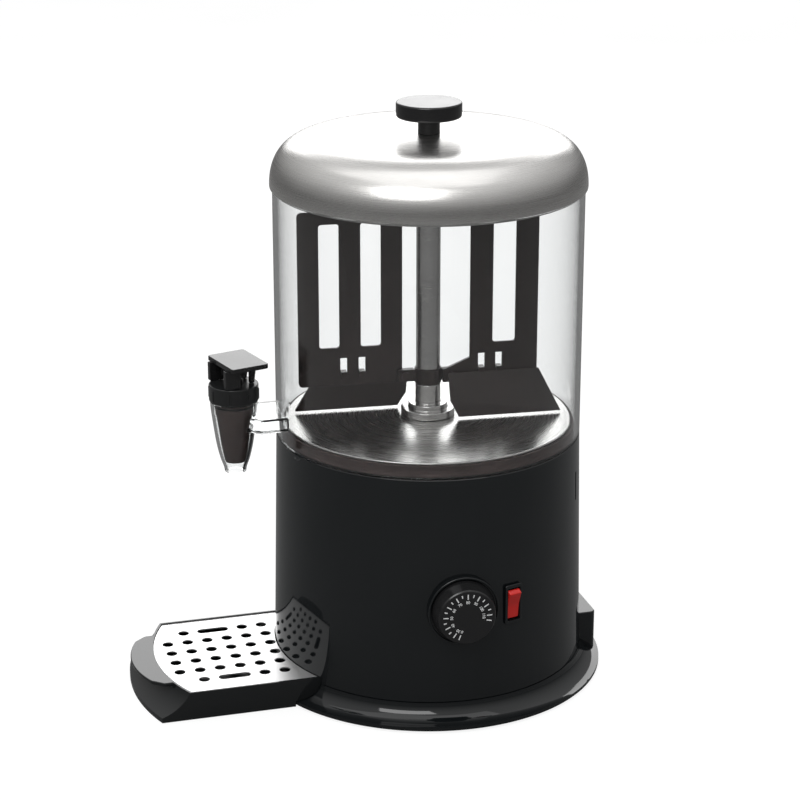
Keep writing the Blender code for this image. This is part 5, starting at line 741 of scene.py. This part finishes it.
def build_bowl():
    """The clear bowl, with the hole that leads to the tap."""
    section = rounded(rectangle(BOWL_INNER, 0.1998, BOWL_OUTER, 0.3965), 0.0009, 5)
    wall = revolve("bowl_skin", section, LARGE, CLEAR, angle=40)
    opening = rounded(rectangle(-CHANNEL_HALF_WIDTH, CHANNEL_LOW, CHANNEL_HALF_WIDTH, CHANNEL_HIGH), 0.0015, 5)
    hole = slab(
        "hole_tool", [opening], -BOWL_OUTER - 0.006 + AXIS[1], -BOWL_INNER + 0.006 + AXIS[1], None, axis="Y"
    )
    settle(wall, (hole, "DIFFERENCE"), angle=40)
    mount(wall, "bowl", "bowl_wall", slot="clear")


def dome(radius, rise, steps):
    """A superellipse from the rim to the crown, steep at the rim and flat on top."""
    points = []
    for k in range(steps + 1):
        turn = math.pi / 2 * k / steps
        height = LID_RIM_HEIGHT + rise * math.sin(turn) ** (2 / 2.13)
        points.append((radius * math.cos(turn) ** (2 / 8.0), height))
    return points


def build_lid():
    """The sheet steel lid with its lip, and the knob."""
    outer = dome(0.1222, 0.0383, 40)
    inner = dome(0.1212, 0.0373, 40)
    outer[-1] = (0.0030, outer[-1][1])
    inner[-1] = (0.0030, inner[-1][1])
    outline = [
        *outer, *reversed(inner),
        (0.1212, 0.3978), (0.1146, 0.3978), (0.1146, 0.3940), (0.1156, 0.3940),
        (0.1156, 0.3968), (0.1218, 0.3968), (0.1221, 0.3972),
    ]
    shell = revolve("lid_shell", outline, LARGE, LID_STEEL, angle=40)
    mount(shell, "lid", "lid_dome", slot="steel")
    stem = rounded(
        [
            (0.0028, 0.4368), (0.0085, 0.4368), (0.0085, 0.4493), (0.0253, 0.4493),
            (0.0253, 0.4610), (0, 0.4610), (0, 0.44755), (0.0028, 0.44755),
        ],
        0.0016, 6, corners=(3, 4),
    )
    knob = revolve("lid_handle", stem, MEDIUM, BLACK_KNOB, angle=40)
    mount(knob, "lid", "lid_knob", slot="gloss_black")


def build_agitator():
    """Tube, cap and hub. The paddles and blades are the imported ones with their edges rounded."""
    turn = Matrix.Translation((AXIS[0], AXIS[1], 0)) @ Matrix.Rotation(AGITATOR_TURN, 4, "Z")
    section = rounded(rectangle(0.0080, 0.2499, 0.0094, 0.3870), 0.0003, 3)
    tube = revolve("tube_turned", section, MEDIUM, TUBE_STEEL, angle=40)
    mount(tube, "agitator", "agitator_tube", slot="steel")
    cap = revolve(
        "cap_turned",
        rounded(
            [(0, 0.3810), (0.0077, 0.3810), (0.0077, 0.3873), (0.0094, 0.3873), (0.0094, 0.3900), (0, 0.3900)],
            0.0009, 4, corners=(1, 4),
        ),
        MEDIUM, BROWN, angle=40,
    )
    mount(cap, "agitator", "tube_cap", slot="dark_brown")
    section = rounded(rectangle(0, 0.2375, 0.0106, 0.2496), 0.0006, 4, corners=(1, 2))
    hub = revolve("hub_turned", section, MEDIUM, BROWN, angle=40)
    paddle_offset, half_sheet, gap, lug_thickness = 0.0040, 0.0013, 0.0003, 0.0040
    near = paddle_offset - half_sheet - gap
    lugs = []
    for side in (-1, 1):
        x0, x1 = sorted((side * (near - lug_thickness), side * near))
        y0, y1 = sorted((side * 0.0047, side * 0.0240))
        lugs.append(rectangle(x0, y0, x1, y1))
    lug = slab("lug_tool", lugs, 0.2387, 0.2484, None, place=turn, bevel=0.0004)
    bore = slab("bore_tool", [circle(0.0051, 48)], 0.2300, 0.2560, None, place=turn)
    rivet_holes = [circle(0.0023, 24, (side * 0.018, 0.24355)) for side in (-1, 1)]
    holes = slab("rivet_tool", rivet_holes, -0.012, 0.012, None, axis="X", place=turn)
    settle(hub, (lug, "UNION"), (bore, "DIFFERENCE"), (holes, "DIFFERENCE"), angle=35)
    mount(hub, "agitator", "agitator_hub", slot="dark_brown")
    for name in ("paddle_wide", "paddle_narrow", "scraper_wide", "scraper_narrow"):
        soften(frame["nodes"][name], 0.00045, 2)


# Tap

def lever_frame():
    """Where the lever sits: on the tap's axis, turned so that its pad faces the user."""
    return Matrix.Translation((TAP[0], TAP[1], 0)) @ Matrix.Rotation(LEVER_TURN, 4, "Z")


def duct_outline(half_width, straight_end, nose_half_width, nose_end):
    """The duct in plan, from the bowl's inside straight out and then tapering into the tap."""
    half = [(half_width, -BOWL_INNER), (half_width, -straight_end), (nose_half_width, -nose_end)]
    return [(-x, y + AXIS[1]) for x, y in half] + [(x, y + AXIS[1]) for x, y in reversed(half)]


def build_tap_body():
    """The clear tap with its duct, hollow for the plug and the drink."""
    wall = 0.0025
    profile = [
        (0.0185, 0.2361), (0.0180, 0.22896), (0.01639, 0.21603), (0.0143, 0.20153),
        (0.01169, 0.18998), (0.00899, 0.18198), (0.0084, 0.1785),
    ]
    inside = [(radius - wall, height) for radius, height in profile[2:]]
    neck = [(0, 0.2435), (0.0166, 0.2435), (0.0172, 0.2429), (0.0172, 0.2365), (0.0181, 0.2365)]
    body = revolve("tap_shell", [*neck, *smooth(profile, 6), (0, 0.1785)], MEDIUM, CLEAR_TAP, centre=TAP, angle=40)
    outside = duct_outline(0.022, 0.139, 0.014, 0.150)
    duct = slab("duct_tool", [outside], 0.2135, 0.2250, None, bevel=0.0012, bevel_steps=3)
    room = revolve("room_tool", rectangle(0, 0.205, 0.12045, 0.233), LARGE, None)
    settle(duct, (room, "DIFFERENCE"))
    narrowing = smooth([(TAP_BORE_RADIUS, 0.2280), *inside], 6)
    hollow = [(0, 0.2500), (TAP_BORE_RADIUS, 0.2500), *narrowing, (0.0059, 0.1720), (0, 0.1720)]
    bore = revolve("bore_tool", hollow, MEDIUM, None, centre=TAP)
    passage = duct_outline(CHANNEL_HALF_WIDTH, 0.1369, 0.011, 0.148)
    channel = slab("channel_tool", [passage], CHANNEL_LOW, CHANNEL_HIGH, None)
    settle(body, (duct, "UNION"), (bore, "DIFFERENCE"), (channel, "DIFFERENCE"), angle=36)
    mount(body, "bowl", "tap_body", slot="clear")


def build_tap_collar():
    """The ribbed ring nut with the boss that guides the stem."""
    outer = 0.0192
    outline = rounded(
        [
            (0.0175, 0.2368), (outer, 0.2368), (outer, 0.2500), (0.0074, 0.2500), (0.0074, 0.2545),
            (0.0043, 0.2545), (0.0043, 0.2473), (TAP_BORE_RADIUS, 0.2473), (TAP_BORE_RADIUS, 0.2438), (0.0175, 0.2438),
        ],
        0.0009, 4, corners=(1, 2, 4),
    )
    collar = revolve("collar_turned", outline, MEDIUM, BLACK_SATIN, centre=TAP, angle=36)
    ribs = []
    section = ((0.0184, -0.0011), (0.0199, -0.0006), (0.0199, 0.0006), (0.0184, 0.0011))
    count = 8
    for k in range(count):
        turn = 2 * math.pi * (k + 0.5) / count
        across = Vector((-math.sin(turn), math.cos(turn)))
        out = Vector((math.cos(turn), math.sin(turn)))
        base = Vector(TAP)
        ribs.append([tuple(base + out * reach + across * wide) for reach, wide in section])
    rib_tool = slab("rib_tool", ribs, 0.2383, 0.2470, None, bevel=0.0002)
    settle(collar, (rib_tool, "UNION"), angle=36)
    mount(collar, "bowl", "tap_collar", slot="gloss_black")


def build_plug_and_stem():
    """The tapered plug with its ring, and the stem with its eye for the lever's pin."""
    taper = smooth([(0.0144, 0.2290), (0.0125, 0.2160), (0.0107, 0.2015), (0.0086, 0.1900), (0.0079, 0.1877)], 5)
    plug = revolve(
        "plug_turned",
        [
            (0.0043, 0.2360), (0.0138, 0.2360), (0.0144, 0.2354), (0.0144, 0.2341),
            (0.0132, 0.2341), (0.0132, 0.2319), (0.0144, 0.2319),
            *taper, (0.0077, 0.1872), (0.0072, 0.1870),
            (0, 0.1870), (0, 0.2257), (0.0043, 0.2257),
        ],
        MEDIUM, MAUVE, centre=TAP, angle=40,
    )
    mount(plug, "piston", "tap_plug", slot="mauve_rubber")
    ring = revolve("ring_turned", circle(0.0008, 12, (0.0141, 0.2330)), MEDIUM, RUBBER, centre=TAP, angle=60)
    mount(ring, "piston", "plug_ring", slot="rubber")

    place = lever_frame()
    stem = slab("stem_turned", [circle(0.0040, 48)], 0.2260, 0.2570, BLACK_SATIN, place=place, bevel=0.0003)
    head_radius = 0.0050
    turns = [math.pi * k / 16 for k in range(17)]
    arc = [(head_radius * math.cos(turn), PIN_HEIGHT + head_radius * math.sin(turn)) for turn in turns]
    shape = arc + [(-head_radius, 0.2550), (head_radius, 0.2550)]
    head = slab("head_tool", [shape], -0.0045, 0.0045, None, axis="X", place=place, bevel=0.0004)
    hole = slab("hole_tool", [circle(PIN_HOLE_RADIUS, 24, (0, PIN_HEIGHT))], -0.01, 0.01, None, axis="X", place=place)
    settle(stem, (head, "UNION"), (hole, "DIFFERENCE"), angle=36)
    mount(stem, "piston", "tap_stem", slot="satin_black")


def build_lever():
    """The lever: a flat pad with a wall under each side and two cheeks with the pin's eye and a leg."""
    place = lever_frame()
    outline = rounded(rectangle(-0.0217, -0.0114, 0.0217, 0.0200), 0.0026, 8)
    pad = slab("lever_pad", [outline], 0.2646, 0.2684, BLACK_KNOB, place=place, bevel=0.0007, bevel_steps=4, angle=40)
    cheek = [
        (-0.0065, 0.2654), (-0.0065, 0.2555), (0.0065, 0.2555), (0.0084, 0.2628),
        (0.0104, 0.2628), (0.0104, 0.2503), (0.0141, 0.2503), (0.0163, 0.2654),
    ]
    wall = [(-0.0142, 0.2654), (-0.0142, 0.2503), (-0.0012, 0.2503), (-0.0012, 0.2654)]
    wall = rounded(wall, 0.0016, 5, corners=(1, 2))
    tools = []
    for side in (-1, 1):
        for label, shape, inner, outer in (("cheek", cheek, 0.0049, 0.0079), ("wall", wall, 0.0115, 0.0155)):
            low, high = sorted((side * inner, side * outer))
            tool = slab(f"{label}_tool_{side}", [shape], low, high, None, axis="X", place=place, bevel=0.0003)
            tools.append((tool, "UNION"))
    eye = slab("eye_tool", [circle(PIN_HOLE_RADIUS, 24, (0, PIN_HEIGHT))], -0.012, 0.012, None, axis="X", place=place)
    settle(pad, *tools, (eye, "DIFFERENCE"), angle=36)
    mount(pad, "lever", "tap_lever", slot="gloss_black")


# Drip tray and grid

def arc_across(half_width, middle, side, steps):
    """An arc that bulges away from the axis: so far in the middle, so far at the sides."""
    sag = middle - side
    radius = (half_width**2 + sag**2) / (2 * sag)
    widest = math.asin(half_width / radius)
    points = []
    for k in range(steps + 1):
        turn = widest * (1 - 2 * k / steps)
        points.append((radius * math.sin(turn), -(middle - radius + radius * math.cos(turn))))
    return points


def tray_outline(half_width, reach, steps=24, back=0.090):
    """The tray in plan, straight at the back and curved in front."""
    return [(-half_width, -back), (half_width, -back), *arc_across(half_width, reach[0], reach[1], steps)]


def body_tool(name, skirt_gap, housing_gap):
    """The room that the skirt and the housing take, a gap larger, cut out of the tray."""
    low, high = -0.006, 0.0305
    outline = [(0, low), (SKIRT_RADIUS + skirt_gap, low), *reversed(cove(14, skirt_gap))]
    near = housing_radius(SEAM_HEIGHT) + housing_gap
    outline += [(near, SEAM_HEIGHT + 2 * skirt_gap), (housing_radius(high) + housing_gap, high), (0, high)]
    return revolve(name, outline, LARGE, None, centre=(0, 0))


def loft(name, levels, look, angle=32):
    """Joins closed loops of as many points into one solid."""
    bm = bmesh.new()
    loops = [[bm.verts.new(point) for point in level] for level in levels]
    for lower, upper in zip(loops, loops[1:]):
        for i, vert in enumerate(lower):
            after = (i + 1) % len(lower)
            bm.faces.new((vert, lower[after], upper[after], upper[i]))
    bm.faces.new(loops[0])
    bm.faces.new(loops[-1])
    return close(name, bm, look, angle)


def build_tray():
    """The drip tray: sides that hollow in towards the foot, a lip, a ledge for the grid and a basin."""
    top, low_reach = TRAY_TOP_REACH, TRAY_FOOT_REACH
    top_half, foot_half, foot_height = 0.0663, 0.0643, 0.0045
    levels = [(0.0005, foot_half, low_reach)]
    steps = 12
    for k in range(steps + 1):
        share = 1 - k / steps
        bow = 0.0029 * 4 * share * (1 - share) / math.sqrt(2)
        height = TRAY_TOP_HEIGHT + (foot_height - TRAY_TOP_HEIGHT) * share - bow
        half_width = top_half + (foot_half - top_half) * share
        levels.append((height, half_width, [a + (b - a) * share - bow for a, b in zip(top, low_reach)]))
    loops = [[(x, y, height) for x, y in tray_outline(half, reach)] for height, half, reach in levels]
    tray = loft("tray_moulding", loops, BLACK_TRAY, 28)
    bend = arc_across(0.0375, 0.2434, 0.2345, 24)
    lip_outline = [(0.045, -0.2120), (0.045, -0.2255), *bend, (-0.045, -0.2255), (-0.045, -0.2120)]
    lip_outline = rounded(lip_outline, 0.006, 5, corners=(1, 2, 26, 27))
    lip = slab("lip_tool", [lip_outline], 0.0215, TRAY_TOP_HEIGHT, None, bevel=0.0010, bevel_steps=3)
    recess = slab("recess_tool", [tray_outline(0.0650, [v - 0.0013 for v in top])], 0.0222, 0.0305, None)
    basin = slab("basin_tool", [tray_outline(0.0629, [v - 0.0034 for v in top])], 0.0033, 0.0305, None)
    settle(basin, (body_tool("back_wall_tool", 0.0030, 0.0030), "DIFFERENCE"))
    front = arc_across(0.0608, 0.2399, 0.2278, 24)
    back = arc_across(0.0608, 0.2256, 0.2092, 24)
    pocket = slab("pocket_tool", [front + back[::-1]], -0.0055, 0.0030, None)
    cuts = (body_tool("back_tool", 0.0005, 0.0004), recess, basin, pocket)
    settle(tray, (lip, "UNION"), *((tool, "DIFFERENCE") for tool in cuts), angle=28)
    tray.data.transform(Matrix.Translation((AXIS[0], AXIS[1], 0)))
    mount(tray, "tray", "drip_tray", slot="gloss_black")


def build_grid():
    """The perforated sheet that lies in the tray and follows the housing's curve."""
    half = 0.0647
    reach = [v - 0.0016 for v in TRAY_TOP_REACH]
    low, high = 0.0225, 0.0235
    back = housing_radius(low) + 0.0007
    widest = math.asin(half / back)
    rear = []
    for k in range(25):
        turn = widest * (2 * k / 24 - 1)
        rear.append((back * math.sin(turn), -back * math.cos(turn)))
    plate = slab("grid_plate", [rear + arc_across(half, reach[0], reach[1], 24)], low, high, GRID_STEEL)
    holes = []
    for row in range(6):
        x = (row - 2.5) * GRID_PITCH_ACROSS
        for column in range(6):
            if row in (0, 5) and column in (0, 2, 3):
                continue
            holes.append(circle(0.0044, 32, (x, GRID_FIRST + column * GRID_PITCH_ALONG)))
    for side in (-1, 1):
        holes.append(stadium(0.0256, 0.0080, (side * 0.04375, GRID_FIRST + 2.5 * GRID_PITCH_ALONG), 12))
    tool = slab("holes_tool", holes, low - 0.006, high + 0.006, None)
    settle(plate, (tool, "DIFFERENCE"), angle=28)
    plate.data.transform(Matrix.Translation((AXIS[0], AXIS[1], 0)))
    soften(plate, 0.00022, 2)
    mount(plate, "grid", "drip_grid", slot="steel")


# Camera, lights and floor

def seen_straight(tree):
    """1 for what is met straight or through clear plastic, 0 for what only lights or is mirrored."""
    path = tree.nodes.new("ShaderNodeLightPath")
    bounces = tree.nodes.new("ShaderNodeMath")
    bounces.operation = "ADD"
    put(tree, path.outputs["Diffuse Depth"], bounces.inputs[0])
    put(tree, path.outputs["Glossy Depth"], bounces.inputs[1])
    return span(tree, bounces.outputs[0], 1.0, 0.0, 0.0, 1.0)


def build_camera():
    """The camera, solved from the round pieces and the grid's holes in the photograph."""
    az, pitch, yaw = math.radians(73.5751), math.radians(19.2856), math.radians(0.7228)
    reach, height, focal = 1.7436, 0.8314, 2335.4636
    heading = az + yaw
    camera = bpy.data.cameras.new("photo_camera")
    camera.sensor_width = 36.0
    camera.lens = focal * 36.0 / 800
    camera.clip_start = 0.05
    camera.clip_end = 60
    eye = bpy.data.objects.new("photo_camera", camera)
    bpy.context.scene.collection.objects.link(eye)
    eye.location = (reach * math.sin(az), -reach * math.cos(az) + AXIS[1], height)
    forward = Vector((-math.sin(heading) * math.cos(pitch), math.cos(heading) * math.cos(pitch), -math.sin(pitch)))
    eye.rotation_euler = forward.to_track_quat("-Z", "Y").to_euler()
    bpy.context.scene.camera = eye


def build_floor():
    made, tree, shader = new_tree("pale_floor")
    place = position(tree)
    put(tree, ramp(tree, noise(tree, place, 3, 3), (0.17, 0.17, 0.17), (0.19, 0.19, 0.19)), shader.inputs["Base Color"])
    shader.inputs["Roughness"].default_value = 0.9
    shader.inputs["Specular IOR Level"].default_value = 0.1
    shader.inputs["Emission Color"].default_value = (1, 1, 1, 1)
    put(tree, span(tree, seen_straight(tree), 0.0, 0.86, 0.0, 1.0), shader.inputs["Emission Strength"])
    bm = bmesh.new()
    bmesh.ops.create_grid(bm, x_segments=2, y_segments=2, size=14)
    floor = close("floor", bm, made)
    floor.location.z = -0.0002


def build_lights():
    """A world that is white where it is seen and darker towards its foot in mirrors, and three soft boxes."""
    world = bpy.data.worlds.new("studio")
    bpy.context.scene.world = world
    world.use_nodes = True
    tree = world.node_tree
    back = tree.nodes["Background"]
    split = tree.nodes.new("ShaderNodeSeparateXYZ")
    put(tree, tree.nodes.new("ShaderNodeTexCoord").outputs["Generated"], split.inputs[0])
    studio = span(tree, split.outputs["Z"], 0.12, 0.80, 0.0, 0.8)
    strength = tree.nodes.new("ShaderNodeMapRange")
    strength.inputs["To Max"].default_value = 1.0
    put(tree, studio, strength.inputs["To Min"])
    put(tree, seen_straight(tree), strength.inputs["Value"])
    put(tree, strength.outputs["Result"], back.inputs["Strength"])
    back.inputs["Color"].default_value = (1.0, 1.0, 1.0, 1.0)

    def softbox(name, size, power, place, target):
        lamp = bpy.data.lights.new(name, "AREA")
        lamp.shape = "RECTANGLE"
        lamp.size, lamp.size_y = size
        lamp.energy = power
        obj = bpy.data.objects.new(name, lamp)
        bpy.context.scene.collection.objects.link(obj)
        obj.location = place
        direction = Vector(target) - Vector(place)
        obj.rotation_euler = direction.to_track_quat("-Z", "Y").to_euler()

    softbox("top_box", (2.2, 2.2), 12, (0.0, 0.0, 2.4), (0, 0.05, 0.2))
    softbox("key_box", (1.4, 1.0), 20, (1.44, -0.90, 1.9), (0, 0.0, 0.3))
    softbox("far_box", (2.0, 1.0), 16, (-2.2, 0.65, 1.15), (0, 0.0, 0.25))
    scene = bpy.context.scene
    scene.view_settings.view_transform = "Standard"
    scene.view_settings.look = "None"


build_skirt()
build_housing()
build_pan()
build_gland_and_feet()
build_dial()
build_dial_marks()
build_rocker()
build_bowl()
build_lid()
build_agitator()
build_tap_body()
build_tap_collar()
build_plug_and_stem()
build_lever()
build_tray()
build_grid()
build_camera()
build_floor()
build_lights()

bpy.context.view_layer.update()
